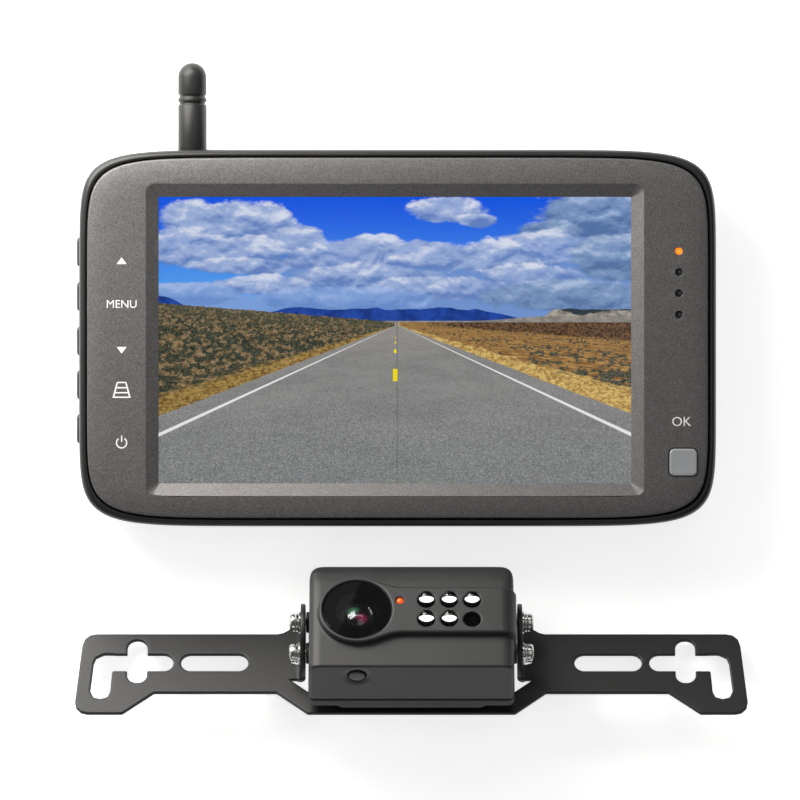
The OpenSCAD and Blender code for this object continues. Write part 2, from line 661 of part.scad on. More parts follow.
front_bezel();
rear_shell();
screen_glass();
screen_gasket();
lcd_panel();
backlight_tray();
main_board();
radio_shield();
side_key_board();
side_key_switches();
side_key(keys_y[0]);  // side_key_up
side_key(keys_y[1]);  // side_key_menu
side_key(keys_y[2]);  // side_key_down
side_key(keys_y[3]);  // side_key_guide
side_key(keys_y[4]);  // side_key_power
front_key_board();
ok_switch();
ok_key();
indicator_lamp_amber();
indicator_lamps_dark();
speaker();
power_jack();
case_screws();
board_screws();
mount_inserts();
antenna_pin();
antenna_knuckle();
antenna_sleeve();
antenna_element();
antenna_coax();
plate_bracket();
camera_front_housing();
camera_rear_cover();
housing_seal();
lens_window();
lens_hood_ring();
lens_barrel();
lens_front_element();
lens_rear_element();
image_sensor_board();
infrared_board();
infrared_leds();
light_sensor();
status_lamp();
transmitter_board();
transmitter_shield();
pair_button();
pair_switch();
cable_gland();
side_inserts();
tilt_screws();
spring_washers();
flat_washers();
cover_screws();
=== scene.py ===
import bpy
import math
import numpy as np
from mathutils import Matrix, Vector


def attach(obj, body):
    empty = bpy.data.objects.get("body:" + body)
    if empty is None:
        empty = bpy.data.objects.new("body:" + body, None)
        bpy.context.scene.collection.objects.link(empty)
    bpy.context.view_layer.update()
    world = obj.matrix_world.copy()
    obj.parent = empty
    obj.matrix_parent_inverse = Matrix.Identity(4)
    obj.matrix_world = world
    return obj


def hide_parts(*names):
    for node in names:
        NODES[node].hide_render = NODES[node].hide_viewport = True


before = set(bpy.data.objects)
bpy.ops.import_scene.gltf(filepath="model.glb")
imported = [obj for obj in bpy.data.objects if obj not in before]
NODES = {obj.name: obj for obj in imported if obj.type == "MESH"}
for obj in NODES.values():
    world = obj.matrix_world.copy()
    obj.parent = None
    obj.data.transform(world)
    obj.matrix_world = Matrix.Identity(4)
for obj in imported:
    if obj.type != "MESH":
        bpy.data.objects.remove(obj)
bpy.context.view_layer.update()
MM = 0.001

# ------------------------------------------------------------------ sizes, as in the CAD (mm)
HA, HB, NEXP = 102.8, 60.8, 9.4
RIM = 2.4
BA, BB = HA - RIM - 0.3, HB - RIM - 0.3
TOP = 26.0
WIN = (152.4, 92.4)
WC = (-0.85, -0.7)
SLOPE_W, SLOPE_D = 3.9, 2.2
KEYS_Y = [27.9, 13.5, -0.9, -15.1, -29.3]
KEY_Z = 14.0
JACK_Y = -16.0
OK = (92.1, -40.1)
OKW = 8.9
LAMP_X = 90.7
LAMPS_Y = [28.0, 21.2, 14.4, 7.5]
ANT = (-66.6, 50.2, 8.6)
ANT_R, ANT_L = 4.6, 39.2
CH = (-72.2, -24.0, 44.7, 13.5)
SCREWS = [(-86.8, 48), (86.8, 48), (-86.8, -50), (86.8, -50)]
MOUNTS = [(-19, 15), (19, 15), (-19, -15), (19, -15)]
LIE = 35.5
UNIT = Matrix.Translation((4.5, -96.9, 1.87)) @ Matrix.Rotation(math.radians(-LIE), 4, "X")
EAR_IN, SHEET = 34.2, 1.6
EAR_OUT = EAR_IN + SHEET
EAR_CZ, EAR_CY, EAR_R = 11.0, -7.3, 10.5
PIV_Y, PIV_Z, LOCK_R = -2.6, 12.0, 12.0
CAM_HW = 33.4
BY0, BY1, TOPY, LEAN = -30.3, 6.6, 11.0, 17.8
SEAM, FRONT, PANEL = 8.4, 28.0, 30.2
LENS = (-17.5, -9.5)
LENS_R = 11.1
LED_X = [4.8, 12.15, 19.5]
LED_Y = [-6.1, -13.45]
PAIR_Z = 21.6
ARM_H = 22.8


# ------------------------------------------------------------------ mesh helpers
def add(name, verts, faces, mat, body, replaces=(), slot=None, xf=None, smooth=None, normals=None):
    """One piece from vertices in mm. smooth is an angle in degrees, or None for all smooth."""
    v = np.asarray(verts, float)
    if xf is not None:
        m = np.array(xf)
        v = v @ m[:3, :3].T + m[:3, 3]
        if normals is not None:
            normals = normals @ m[:3, :3].T
    me = bpy.data.meshes.new(name)
    me.from_pydata((v * MM).tolist(), [], faces if isinstance(faces, list) else faces.tolist())
    me.validate()
    me.update()
    o = bpy.data.objects.new(name, me)
    bpy.context.scene.collection.objects.link(o)
    if smooth == 0:
        me.shade_flat()
    elif smooth is None:
        me.shade_smooth()
    else:
        me.shade_smooth()
        me.set_sharp_from_angle(angle=math.radians(smooth))
    if normals is not None and len(me.vertices) == len(v):
        me.normals_split_custom_set_from_vertices([tuple(n) for n in normals])
    if mat is not None:
        for m_ in (mat if isinstance(mat, (list, tuple)) else [mat]):
            me.materials.append(m_)
    if body:
        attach(o, body)
        if replaces:
            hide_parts(*replaces)
    return o


def loft(rings, closed_ends=(True, True), wrap=False):
    """Quads between equal rings of points. Ends closed with one n-gon each."""
    n = len(rings[0])
    v = np.concatenate([np.asarray(r, float) for r in rings])
    f = []
    m = len(rings)
    for i in range(m if wrap else m - 1):
        a, b = i * n, ((i + 1) % m) * n
        for j in range(n):
            k = (j + 1) % n
            f.append((a + j, a + k, b + k, b + j))
    if not wrap:
        if closed_ends[0]:
            f.append(tuple(reversed(range(n))))
        if closed_ends[1]:
            f.append(tuple(range((m - 1) * n, m * n)))
    return v, f


def merge(parts):
    v, f, k = [], [], 0
    for pv, pf in parts:
        v.append(np.asarray(pv, float))
        f += [tuple(i + k for i in q) for q in pf]
        k += len(pv)
    return np.concatenate(v), f


def lathe(profile, n=64, wrap=False):
    """Turns (r, z) points about Z. r = 0 at the ends gives a closed solid."""
    t = np.linspace(0, 2 * math.pi, n, endpoint=False)
    v, f, prev = [], [], None
    first = None
    for r, z in profile:
        if r <= 1e-9:
            cur = [len(v)]
            v.append((0, 0, z))
        else:
            cur = list(range(len(v), len(v) + n))
            v += [(r * c, r * s, z) for c, s in zip(np.cos(t), np.sin(t))]
        if prev is not None:
            f += _band(prev, cur, n)
        else:
            first = cur
        prev = cur
    if wrap:
        f += _band(prev, first, n)
    return np.array(v), f


def _band(a, b, n):
    if len(a) == 1 and len(b) == 1:
        return []
    if len(a) == 1:
        return [(a[0], b[(j + 1) % n], b[j]) for j in range(n)][::1]
    if len(b) == 1:
        return [(a[j], a[(j + 1) % n], b[0]) for j in range(n)]
    return [(a[j], a[(j + 1) % n], b[(j + 1) % n], b[j]) for j in range(n)]


def xform(vf, m):
    m = np.array(m)
    return vf[0] @ m[:3, :3].T + m[:3, 3], vf[1]


def arc(cx, cz, r, a0, a1, k=6):
    return [(cx + r * math.cos(math.radians(a0 + (a1 - a0) * i / k)), cz + r * math.sin(math.radians(a0 + (a1 - a0) * i / k))) for i in range(k + 1)]


def rrect(w, h, r, ns=(10, 8), nc=8, c=(0, 0)):
    """Rounded rectangle, anticlockwise from the middle of the right side; always 2*(ns0+ns1)+4*nc points."""
    hw, hh = w / 2, h / 2
    r = min(r, hw - 1e-3, hh - 1e-3)
    p = []

    def seg(a, b, k):
        for i in range(k):
            t = i / k
            p.append((a[0] + (b[0] - a[0]) * t, a[1] + (b[1] - a[1]) * t))

    def cor(cx, cy, a0):
        for i in range(nc):
            a = math.radians(a0 + 90 * i / nc)
            p.append((cx + r * math.cos(a), cy + r * math.sin(a)))
    cor(hw - r, hh - r, 0)
    seg((hw - r, hh), (-hw + r, hh), ns[0])
    cor(-hw + r, hh - r, 90)
    seg((-hw, hh - r), (-hw, -hh + r), ns[1])
    cor(-hw + r, -hh + r, 180)
    seg((-hw + r, -hh), (hw - r, -hh), ns[0])
    cor(hw - r, -hh + r, 270)
    seg((hw, -hh + r), (hw, hh - r), ns[1])
    a = np.array(p)
    return a + np.array(c)


def at_z(p, z):
    return np.column_stack([p, np.full(len(p), z)])


def sell_at(dirs, a, b):
    """Points of the monitor's outline (half sizes a, b) in these directions."""
    d = dirs / np.linalg.norm(dirs, axis=1)[:, None]
    r = (np.abs(d[:, 0] / a) ** NEXP + np.abs(d[:, 1] / b) ** NEXP) ** (-1 / NEXP)
    return d * r[:, None]


def boolean(o, cutter, op="DIFFERENCE"):
    m = o.modifiers.new("cut", "BOOLEAN")
    m.object, m.operation, m.solver = cutter, op, "EXACT"
    dg = bpy.context.evaluated_depsgraph_get()
    me = bpy.data.meshes.new_from_object(o.evaluated_get(dg))
    o.modifiers.clear()
    old = o.data
    o.data = me
    me.name = old.name
    bpy.data.objects.remove(cutter)
    return o


def reshade(o, angle):
    o.data.shade_smooth()
    o.data.set_sharp_from_angle(angle=math.radians(angle))
    even(o)


def even(o):
    """Flat faces stay flat beside small rounded edges."""
    m = o.modifiers.new("even", "WEIGHTED_NORMAL")
    m.mode, m.weight, m.keep_sharp = "FACE_AREA", 80, True


def round_edges(o, width, angle=35, seg=2):
    m = o.modifiers.new("round", "BEVEL")
    m.width, m.segments, m.limit_method, m.angle_limit = width * MM, seg, "ANGLE", math.radians(angle)
    m.use_clamp_overlap = True
    m.harden_normals = False
    return m


# ------------------------------------------------------------------ surfaces from distance fields
def nets(F, lo, h):
    """Closed surface where F crosses zero (inside is negative), with normals from F."""
    s = F < 0
    c = np.zeros(tuple(d - 1 for d in F.shape), np.uint8)
    for i in (0, 1):
        for j in (0, 1):
            for k in (0, 1):
                c += s[i:F.shape[0] - 1 + i, j:F.shape[1] - 1 + j, k:F.shape[2] - 1 + k]
    act = (c > 0) & (c < 8)
    idx = np.full(act.shape, -1, np.int64)
    I = np.argwhere(act)
    idx[act] = np.arange(len(I))
    cor = np.array([[i, j, k] for i in (0, 1) for j in (0, 1) for k in (0, 1)])
    val = np.stack([F[I[:, 0] + q[0], I[:, 1] + q[1], I[:, 2] + q[2]] for q in cor])
    acc = np.zeros((len(I), 3))
    cnt = np.zeros(len(I))
    for a in range(8):
        for b in range(a + 1, 8):
            if np.abs(cor[a] - cor[b]).sum() != 1:
                continue
            f0, f1 = val[a], val[b]
            m = (f0 < 0) != (f1 < 0)
            t = np.where(m, f0 / np.where(m, f0 - f1, 1), 0)
            acc += np.where(m[:, None], cor[a] + t[:, None] * (cor[b] - cor[a]), 0)
            cnt += m
    P = I + acc / cnt[:, None]
    quads = []
    for ax in range(3):
        sh = [slice(None)] * 3
        a0, a1 = list(sh), list(sh)
        a0[ax], a1[ax] = slice(0, -1), slice(1, None)
        s0, s1 = s[tuple(a0)], s[tuple(a1)]
        for sign in (True, False):
            E = np.argwhere((s0 == sign) & (s1 != sign))
            u, w = [q for q in range(3) if q != ax]
            E = E[(E[:, u] > 0) & (E[:, w] > 0) & (E[:, u] < F.shape[u] - 1) & (E[:, w] < F.shape[w] - 1)]
            if not len(E):
                continue

            def cell(du, dw):
                q = E.copy()
                q[:, u] -= du
                q[:, w] -= dw
                return idx[q[:, 0], q[:, 1], q[:, 2]]
            Q = np.stack([cell(1, 1), cell(0, 1), cell(0, 0), cell(1, 0)], 1)
            flip = (not sign) ^ (ax == 1)
            quads.append(Q[:, ::-1] if flip else Q)
    Q = np.concatenate(quads)

    def samp(X):
        X = np.clip(X, 0, np.array(F.shape) - 1.001)
        i = X.astype(int)
        t = X - i
        r = 0
        for q in cor:
            w = np.prod(np.where(q, t, 1 - t), axis=1)
            r = r + w * F[i[:, 0] + q[0], i[:, 1] + q[1], i[:, 2] + q[2]]
        return r
    G = np.stack([samp(P + e) - samp(P - e) for e in np.eye(3) * 0.75], 1)
    ln = np.linalg.norm(G, axis=1)[:, None]
    G = G / np.maximum(ln, 1e-9)
    return P * h + np.array(lo), Q, G


def smax(a, b, k):
    hh = np.maximum(k - np.abs(a - b), 0) / k
    return np.maximum(a, b) + hh * hh * k * 0.25


def smin(a, b, k):
    return -smax(-a, -b, k)


def sd_box2(x, y, cx, cy, hx, hy, r=0.0):
    qx, qy = np.abs(x - cx) - (hx - r), np.abs(y - cy) - (hy - r)
    return np.sqrt(np.maximum(qx, 0) ** 2 + np.maximum(qy, 0) ** 2) + np.minimum(np.maximum(qx, qy), 0) - r


def sd_poly(x, y, pts):
    """Distance to a polygon, negative inside."""
    x, y = np.broadcast_arrays(x, y)
    d = np.full(x.shape, 1e9)
    s = np.ones(x.shape)
    n = len(pts)
    for i in range(n):
        a, b = np.array(pts[i], float), np.array(pts[i - 1], float)
        e = b - a
        wx, wy = x - a[0], y - a[1]
        t = np.clip((wx * e[0] + wy * e[1]) / (e @ e), 0, 1)
        d = np.minimum(d, (wx - e[0] * t) ** 2 + (wy - e[1] * t) ** 2)
        c1, c2, c3 = y >= a[1], y < b[1], e[0] * wy > e[1] * wx
        s = np.where((c1 & c2 & c3) | (~c1 & ~c2 & ~c3), -s, s)
    return s * np.sqrt(d)


def grid(lo, hi, h):
    ax = [np.arange(a, b + h, h) for a, b in zip(lo, hi)]
    return ax[0][:, None, None], ax[1][None, :, None], ax[2][None, None, :]


# ------------------------------------------------------------------ material helpers
class E:
    """A node socket that can be used in arithmetic."""

    def __init__(self, nt, out):
        self.nt, self.out = nt, out

    def _m(self, op, *o):
        n = self.nt.nodes.new("ShaderNodeMath")
        n.operation = op
        for i, q in enumerate((self,) + o):
            link(self.nt, q, n.inputs[i])
        return E(self.nt, n.outputs[0])

    def __add__(self, o): return self._m("ADD", o)
    def __radd__(self, o): return self._m("ADD", o)
    def __sub__(self, o): return self._m("SUBTRACT", o)
    def __rsub__(self, o): return (self * -1.0) + o
    def __mul__(self, o): return self._m("MULTIPLY", o)
    def __rmul__(self, o): return self._m("MULTIPLY", o)
    def __truediv__(self, o): return self._m("DIVIDE", o)
    def gt(self, o): return self._m("GREATER_THAN", o)
    def lt(self, o): return self._m("LESS_THAN", o)
    def abs(self): return self._m("ABSOLUTE")
    def max(self, o): return self._m("MAXIMUM", o)
    def min(self, o): return self._m("MINIMUM", o)
    def fract(self): return self._m("FRACT")
    def pow(self, o): return self._m("POWER", o)

    def step(self, a, b):
        """0 below a, 1 above b, smooth between."""
        n = self.nt.nodes.new("ShaderNodeMapRange")
        n.interpolation_type = "SMOOTHSTEP"
        link(self.nt, self, n.inputs[0])
        link(self.nt, a, n.inputs[1])
        link(self.nt, b, n.inputs[2])
        return E(self.nt, n.outputs[0])


def link(nt, v, sock):
    if isinstance(v, E):
        nt.links.new(v.out, sock)
    elif isinstance(v, (tuple, list)):
        sock.default_value = tuple(v) + ((1.0,) if len(v) == 3 and len(sock.default_value) == 4 else ())
    else:
        sock.default_value = v


class Mat:
    def __init__(self, name, **fixed):
        self.m = bpy.data.materials.new(name)
        self.m.use_nodes = True
        self.nt = self.m.node_tree
        self.b = self.nt.nodes["Principled BSDF"]
        self.out = self.nt.nodes["Material Output"]
        for k, v in fixed.items():
            self.set(k, v)
        tc = self.nt.nodes.new("ShaderNodeTexCoord")
        self.pos = E(self.nt, tc.outputs["Object"])

    def set(self, k, v):
        link(self.nt, v, self.b.inputs[k.replace("_", " ")])

    def xyz(self):
        n = self.nt.nodes.new("ShaderNodeSeparateXYZ")
        link(self.nt, self.pos, n.inputs[0])
        return [E(self.nt, n.outputs[i]) for i in range(3)]

    def vec(self, x, y, z=0.0):
        n = self.nt.nodes.new("ShaderNodeCombineXYZ")
        for i, q in enumerate((x, y, z)):
            link(self.nt, q, n.inputs[i])
        return E(self.nt, n.outputs[0])

    def noise(self, scale, detail=4.0, rough=0.55, at=None, dist=0.0):
        n = self.nt.nodes.new("ShaderNodeTexNoise")
        link(self.nt, at or self.pos, n.inputs["Vector"])
        n.inputs["Scale"].default_value = scale
        n.inputs["Detail"].default_value = detail
        n.inputs["Roughness"].default_value = rough
        n.inputs["Distortion"].default_value = dist
        return E(self.nt, n.outputs["Fac"])

    def cells(self, scale, at=None, out="Color"):
        n = self.nt.nodes.new("ShaderNodeTexVoronoi")
        link(self.nt, at or self.pos, n.inputs["Vector"])
        n.inputs["Scale"].default_value = scale
        if out == "Color":
            s = self.nt.nodes.new("ShaderNodeSeparateColor")
            self.nt.links.new(n.outputs["Color"], s.inputs[0])
            return E(self.nt, s.outputs[0])
        return E(self.nt, n.outputs[out])

    def mix(self, f, a, b):
        n = self.nt.nodes.new("ShaderNodeMix")
        n.data_type = "RGBA"
        link(self.nt, f, n.inputs[0])
        link(self.nt, a, n.inputs[6])
        link(self.nt, b, n.inputs[7])
        return E(self.nt, n.outputs[2])

    def bump(self, height, strength, dist):
        n = self.nt.nodes.new("ShaderNodeBump")
        n.inputs["Strength"].default_value = strength
        n.inputs["Distance"].default_value = dist
        link(self.nt, height, n.inputs["Height"])
        self.nt.links.new(n.outputs[0], self.b.inputs["Normal"])

    def edge(self, lo=0.52, hi=0.6):
        """1 on worn edges."""
        g = self.nt.nodes.new("ShaderNodeNewGeometry")
        return E(self.nt, g.outputs["Pointiness"]).step(lo, hi)


def plastic(name, col, rough=0.45, grain=1400.0, grain_h=0.00004, bump=0.35, spec=0.5, vary=0.12, edge=0.25, coat=0.0):
    """Moulded plastic: fine even grain, faint blotches, rubbed edges."""
    m = Mat(name, Specular_IOR_Level=spec, Coat_Weight=coat, Coat_Roughness=0.2)
    big, fine = m.noise(35.0, 3.0), m.noise(grain, 2.0, 0.6)
    dark, light = [c * (1 - vary) for c in col], [c * (1 + vary) for c in col]
    c = m.mix(big.step(0.35, 0.65), dark, light)
    if edge:
        c = m.mix(m.edge() * (edge * 1.0), c, [min(1, q * 1.9 + 0.01) for q in col])
    m.set("Base_Color", c)
    m.set("Roughness", big * 0.1 + fine * 0.08 + (rough - 0.09))
    m.bump(fine, bump, grain_h)
    return m.m


def metal(name, col, rough=0.28, brushed=False, vary=0.08):
    m = Mat(name, Metallic=1.0)
    x, y, z = m.xyz()
    fine = m.noise(900.0, 3.0, 0.6, at=m.vec(x * 0.08, y, z) if brushed else None)
    big = m.noise(90.0, 3.0)
    m.set("Base_Color", m.mix(big, [c * (1 - vary) for c in col], [min(1, c * (1 + vary)) for c in col]))
    m.set("Roughness", fine * 0.16 + big * 0.08 + (rough - 0.12))
    m.bump(fine, 0.2, 0.00002)
    return m.m


def board(name):
    """Green circuit board: solder resist over faint tracks, pads."""
    m = Mat(name, Specular_IOR_Level=0.6)
    x, y, z = m.xyz()
    track = m.cells(420.0, out="Distance").step(0.3, 0.34)
    pads = m.cells(900.0).gt(0.93)
    c = m.mix(track, (0.006, 0.09, 0.035), (0.012, 0.15, 0.06))
    m.set("Base_Color", m.mix(pads, c, (0.75, 0.6, 0.3)))
    m.set("Roughness", pads * 0.1 + 0.3)
    m.bump(track + pads, 0.3, 0.00003)
    return m.m


# ------------------------------------------------------------------ materials
def bezel_paint():
    m = Mat("bezel_paint", Specular_IOR_Level=0.5, Metallic=0.55)
    flake, fine = m.cells(4200.0), m.noise(2600.0, 2.0, 0.7)
    big, mid = m.noise(14.0, 3.0), m.noise(260.0, 3.0, 0.6)
    f = flake * 0.55 + fine * 0.45
    c = m.mix(f.step(0.15, 0.85), (0.086, 0.083, 0.083), (0.186, 0.180, 0.180))
    c = m.mix(mid.step(0.3, 0.7) * 0.18, c, (0.092, 0.088, 0.088))
    c = m.mix(big.step(0.3, 0.7) * 0.10, c, (0.078, 0.075, 0.076))
    c = m.mix(m.edge(0.53, 0.62) * 0.2, c, (0.29, 0.28, 0.28))
    m.set("Base_Color", c)
    m.set("Roughness", flake * 0.10 + big * 0.05 + 0.42)
    m.bump(f, 0.35, 0.00004)
    return m.m


def screen_picture():
    """A made-up open road under a cloudy sky, worked out from position alone."""
    m = Mat("screen_picture", Roughness=0.4, Base_Color=(0.002, 0.002, 0.002), Specular_IOR_Level=0.1)
    x, y, z = m.xyz()
    px = x * 3103.66 + 397.5
    py = y * -3103.66 + 338.0

    def inv(v):
        return E(m.nt, v.out)._m("POWER", -1.0)

    # ---- sky, darker blue towards the top
    up = (322.0 - py).max(0.0)
    sky = m.mix(up.step(0.0, 128.0), (0.085, 0.36, 0.84), (0.003, 0.088, 0.73))
    n1 = m.noise(1.0, 6.0, 0.52, at=m.vec(px * 0.030, py * 0.052, 4.2), dist=0.3)
    n1b = m.noise(1.0, 6.0, 0.52, at=m.vec(px * 0.030 + 0.05, (py + 6.0) * 0.052, 4.2), dist=0.3)
    n2 = m.noise(1.0, 5.0, 0.6, at=m.vec(px * 0.10, py * 0.15, 9.1))
    n2b = m.noise(1.0, 5.0, 0.6, at=m.vec(px * 0.10, (py + 2.6) * 0.15, 9.1))
    relief = (n1 - n1b) * 2.1 + (n2 - n2b) * 0.55
    ragged = (n1 - 0.5) * 1.05 + (n2 - 0.5) * 0.42
    white = ((0.66, 0.70, 0.82), (0.30, 0.40, 0.66), (0.115, 0.21, 0.50))
    rain = ((0.40, 0.50, 0.70), (0.185, 0.29, 0.50), (0.080, 0.155, 0.34))
    haze = ((0.34, 0.46, 0.76), (0.20, 0.335, 0.66), (0.125, 0.25, 0.57))
    col = m.mix((py - 284.0 + ragged * 9.0).step(0.0, 16.0), sky, (0.18, 0.33, 0.67))
    col = m.mix((py - 255.0).step(0.0, 12.0) * (px - 250.0).step(0.0, 45.0) * 0.9, col, (0.15, 0.27, 0.58))
    for cx, cy, rx, ry, tone in ((196, 218, 44, 19, white), (228, 224, 60, 25, white), (264, 224, 34, 22, white), (296, 241, 32, 19, white),
                                 (180, 247, 46, 22, white), (240, 253, 68, 19, white), (243, 266, 64, 9, white),
                                 (447, 210, 46, 14, white), (478, 220, 22, 8, white), (604, 213, 74, 30, rain), (552, 232, 40, 13, rain),
                                 (545, 248, 52, 20, white), (616, 258, 48, 26, rain), (372, 246, 34, 13, white), (352, 254, 54, 16, white),
                                 (303, 258, 26, 12, white), (425, 256, 58, 17, white), (497, 257, 44, 18, white), (370, 277, 80, 15, white),
                                 (530, 276, 60, 13, white), (440, 288, 84, 13, white), (262, 285, 54, 11, white), (190, 294, 60, 12, haze),
                                 (340, 299, 96, 13, haze), (575, 296, 96, 18, rain)):
        a, b = (px - cx) * (1.0 / rx), (py - cy) * (1.0 / ry)
        d = 1.0 - (a * a + b * b).pow(0.5) + ragged * 0.85
        lit = b * -0.36 + relief + 0.46
        shade = m.mix(lit.step(0.05, 0.58), tone[2], tone[1])
        shade = m.mix(lit.step(0.52, 1.05), shade, tone[0])
        col = m.mix(d.step(-0.02, 0.20) * 0.96, col, shade)
    # ---- far hills
    r1 = m.noise(1.0, 4.0, 0.5, at=m.vec(px * 0.019, 2.1))
    r2 = m.noise(1.0, 6.0, 0.55, at=m.vec(px * 0.05, 7.7))
    far = ((px - 232.0).step(0.0, 55.0)) * (1.0 - (px - 470.0).step(0.0, 75.0)) * (r1 * 15.0 + 5.0) + r2 * 1.0
    hl = (1.0 - (px - 160.0).step(0.0, 60.0)) * 27.0 - 1.0
    hr = (px - 535.0).step(0.0, 22.0) * (r2 * 7.0 + 9.5)
    hillc = m.mix((n2 * 0.5 + r2 * 0.5).step(0.4, 0.6), (0.004, 0.030, 0.20), (0.010, 0.060, 0.36))
    col = m.mix(up.lt(far.max(hl)), col, hillc)
    tan = m.mix(n2.step(0.38, 0.62), (0.155, 0.150, 0.135), (0.42, 0.38, 0.32))
    tan = m.mix((n1 + (up - 8.0) * 0.03).step(0.52, 0.60), tan, (0.022, 0.035, 0.045))
    col = m.mix(up.lt(hr), col, tan)
    col = m.mix(up.lt((px - 470.0).step(0.0, 90.0) * 5.0 + 1.2), col, m.mix(n2.step(0.4, 0.6), (0.20, 0.185, 0.165), (0.30, 0.28, 0.25)))
    # ---- ground to the right of the road
    speck = m.noise(1.0, 3.0, 0.85, at=m.vec(px * 0.62, py * 0.72, 0.4))
    spec2 = m.noise(1.0, 3.0, 0.8, at=m.vec(px * 0.24, py * 0.42, 5.4))
    dy = (py - 325.0).max(0.7)
    u = (px - 397.0) * inv(dy)
    lg = dy._m("LOGARITHM", 2.718)
    g1 = m.noise(1.0, 6.0, 0.62, at=m.vec(u * 0.9, lg * 5.0, 0.7))
    g2 = m.noise(1.0, 6.0, 0.66, at=m.vec(u * 3.2, lg * 12.0, 2.9))
    grass = m.mix(spec2.step(0.36, 0.62), (0.30, 0.165, 0.045), (0.70, 0.50, 0.165))
    grass = m.mix((speck.step(0.5, 0.75)) * 0.45, grass, (0.12, 0.085, 0.03))
    orange = m.mix(g2.step(0.4, 0.62), (0.20, 0.095, 0.028), (0.46, 0.27, 0.09))
    orange = m.mix(speck.step(0.52, 0.7) * 0.5, orange, (0.06, 0.05, 0.025))
    bush = m.mix(speck.step(0.38, 0.66), (0.014, 0.019, 0.014), (0.150, 0.145, 0.100))
    t1 = m.noise(1.0, 3.0, 0.6, at=m.vec(px * 0.34, py * 0.46, 3.3))
    t2 = m.noise(1.0, 4.0, 0.62, at=m.vec(px * 0.155, py * 0.22, 6.3))
    t3 = m.noise(1.0, 5.0, 0.64, at=m.vec(px * 0.085, py * 0.12, 1.3))

    def tufts(depth):
        """Noise whose grain grows with depth below the skyline."""
        a = t1 + (t2 - t1) * depth.step(12.0, 42.0)
        return a + (t3 - a) * depth.step(48.0, 120.0)
    tr = tufts(dy)
    gr = m.mix((tr + (g1 - 0.5) * 0.5 + (dy - 28.0) * 0.003).step(0.50, 0.57), orange, bush)
    rust = m.mix((t1 * 0.6 + speck * 0.4).step(0.40, 0.60), (0.030, 0.018, 0.011), (0.175, 0.090, 0.042))
    gr = m.mix(1.0 - (dy + (450.0 - px) * 0.075 + (tr - 0.5) * 9.0).step(0.5, 3.0), gr, rust)
    gr = m.mix((u * -1.0 + 3.75 + (g2 - 0.5) * 1.6).step(0.0, 0.35), gr, grass)
    # ---- scrub on the rising ground to the left
    line = (397.0 - px).max(0.0) * 0.080
    dl = (py - 322.0 + line).max(0.0) + 5.0
    tl = tufts(dl)
    soil = m.mix(spec2.step(0.36, 0.62), (0.085, 0.052, 0.022), (0.30, 0.210, 0.108))
    soil = m.mix(speck.step(0.55, 0.8) * 0.5, soil, (0.03, 0.024, 0.014))
    leaf = m.mix(speck.step(0.36, 0.68), (0.004, 0.007, 0.006), (0.085, 0.098, 0.060))
    scrub = m.mix(tl.step(0.485, 0.545), leaf, soil)
    scrub = m.mix((1.0 - dl.step(6.0, 24.0)) * 0.35, scrub, (0.080, 0.085, 0.052))
    gold = m.mix(spec2.step(0.36, 0.62), (0.115, 0.060, 0.014), (0.40, 0.27, 0.075))
    gold = m.mix(speck.step(0.5, 0.75) * 0.45, gold, (0.075, 0.055, 0.02))
    gl = m.mix((u + 3.55 + (g2 - 0.5) * 1.7).step(0.0, 0.4), scrub, gold)
    ground = m.mix(u.gt(0.0), gl, gr)
    # ---- road
    amp = dy.step(0.0, 150.0) * 0.75 + 0.12
    grit = (speck - 0.5) * amp * 3.4 + 1.0
    tar = m.mix(g1.step(0.35, 0.65), (0.205, 0.204, 0.203), (0.245, 0.244, 0.240))
    cool = dy.step(60.0, 150.0)
    tar = m.mix(cool * 0.6, tar, (0.175, 0.185, 0.190))
    tar = m.mix((1.0 - dy.step(2.0, 40.0)) * 0.6, tar, (0.30, 0.28, 0.255))
    dark = m.mix((1.0 - grit).max(0.0).min(1.0), tar, (0.012, 0.014, 0.016))
    tar = m.mix((grit - 1.0).max(0.0).min(1.0) * 0.55, dark, (0.75, 0.76, 0.76))
    seam = 1.0 - (px - 397.2).abs().step(0.3, 1.1)
    tar = m.mix(seam * 0.30, tar, (0.03, 0.03, 0.032))
    wob = (g2 - 0.5) * 0.12
    road = (u + wob).gt(-2.62) * (u + wob).lt(2.64)
    ground = m.mix(road, ground, tar)
    lines = (1.0 - (u + 2.170).abs().step(0.026, 0.046)).max(1.0 - (u - 2.140).abs().step(0.026, 0.046))
    ground = m.mix(lines * 0.95, ground, (0.80, 0.80, 0.80))
    # dashes get shorter and thinner towards the horizon
    dash = (px - 395.2).abs().lt(2.3) * (py - 375.1).abs().lt(6.2)
    dash = dash.max((px - 395.2).abs().lt(1.25) * (py - 351.2).abs().lt(1.9))
    dash = dash.max((px - 395.4).abs().lt(0.8) * (py - 342.6).abs().lt(1.0))
    dash = dash.max((px - 395.6).abs().lt(0.6) * (py - 337.6).abs().lt(0.7))
    ground = m.mix(dash, ground, (0.84, 0.68, 0.004))
    below = (py - 322.3).gt(0.0).max(((py - 322.0) + line + (t1 - 0.5) * 3.5).gt(0.0) * px.lt(385.0))
    col = m.mix(below, col, ground)
    inside = (x + 0.00085).abs().lt(0.0764) * (y + 0.0007).abs().lt(0.0464)
    col = m.mix(inside, (0.001, 0.001, 0.001), col)
    m.set("Emission_Color", col)
    m.b.inputs["Emission Strength"].default_value = 1.0
    return m.m


def lens_coat(name, tint, rough=0.03):
    m = Mat(name, Specular_IOR_Level=0.6, Coat_Weight=1.0, Coat_Roughness=0.02, IOR=1.6)
    n = m.noise(300.0, 2.0)
    m.set("Base_Color", m.mix(n, [c * 0.85 for c in tint], tint))
    m.set("Roughness", n * 0.02 + rough)
    return m.m


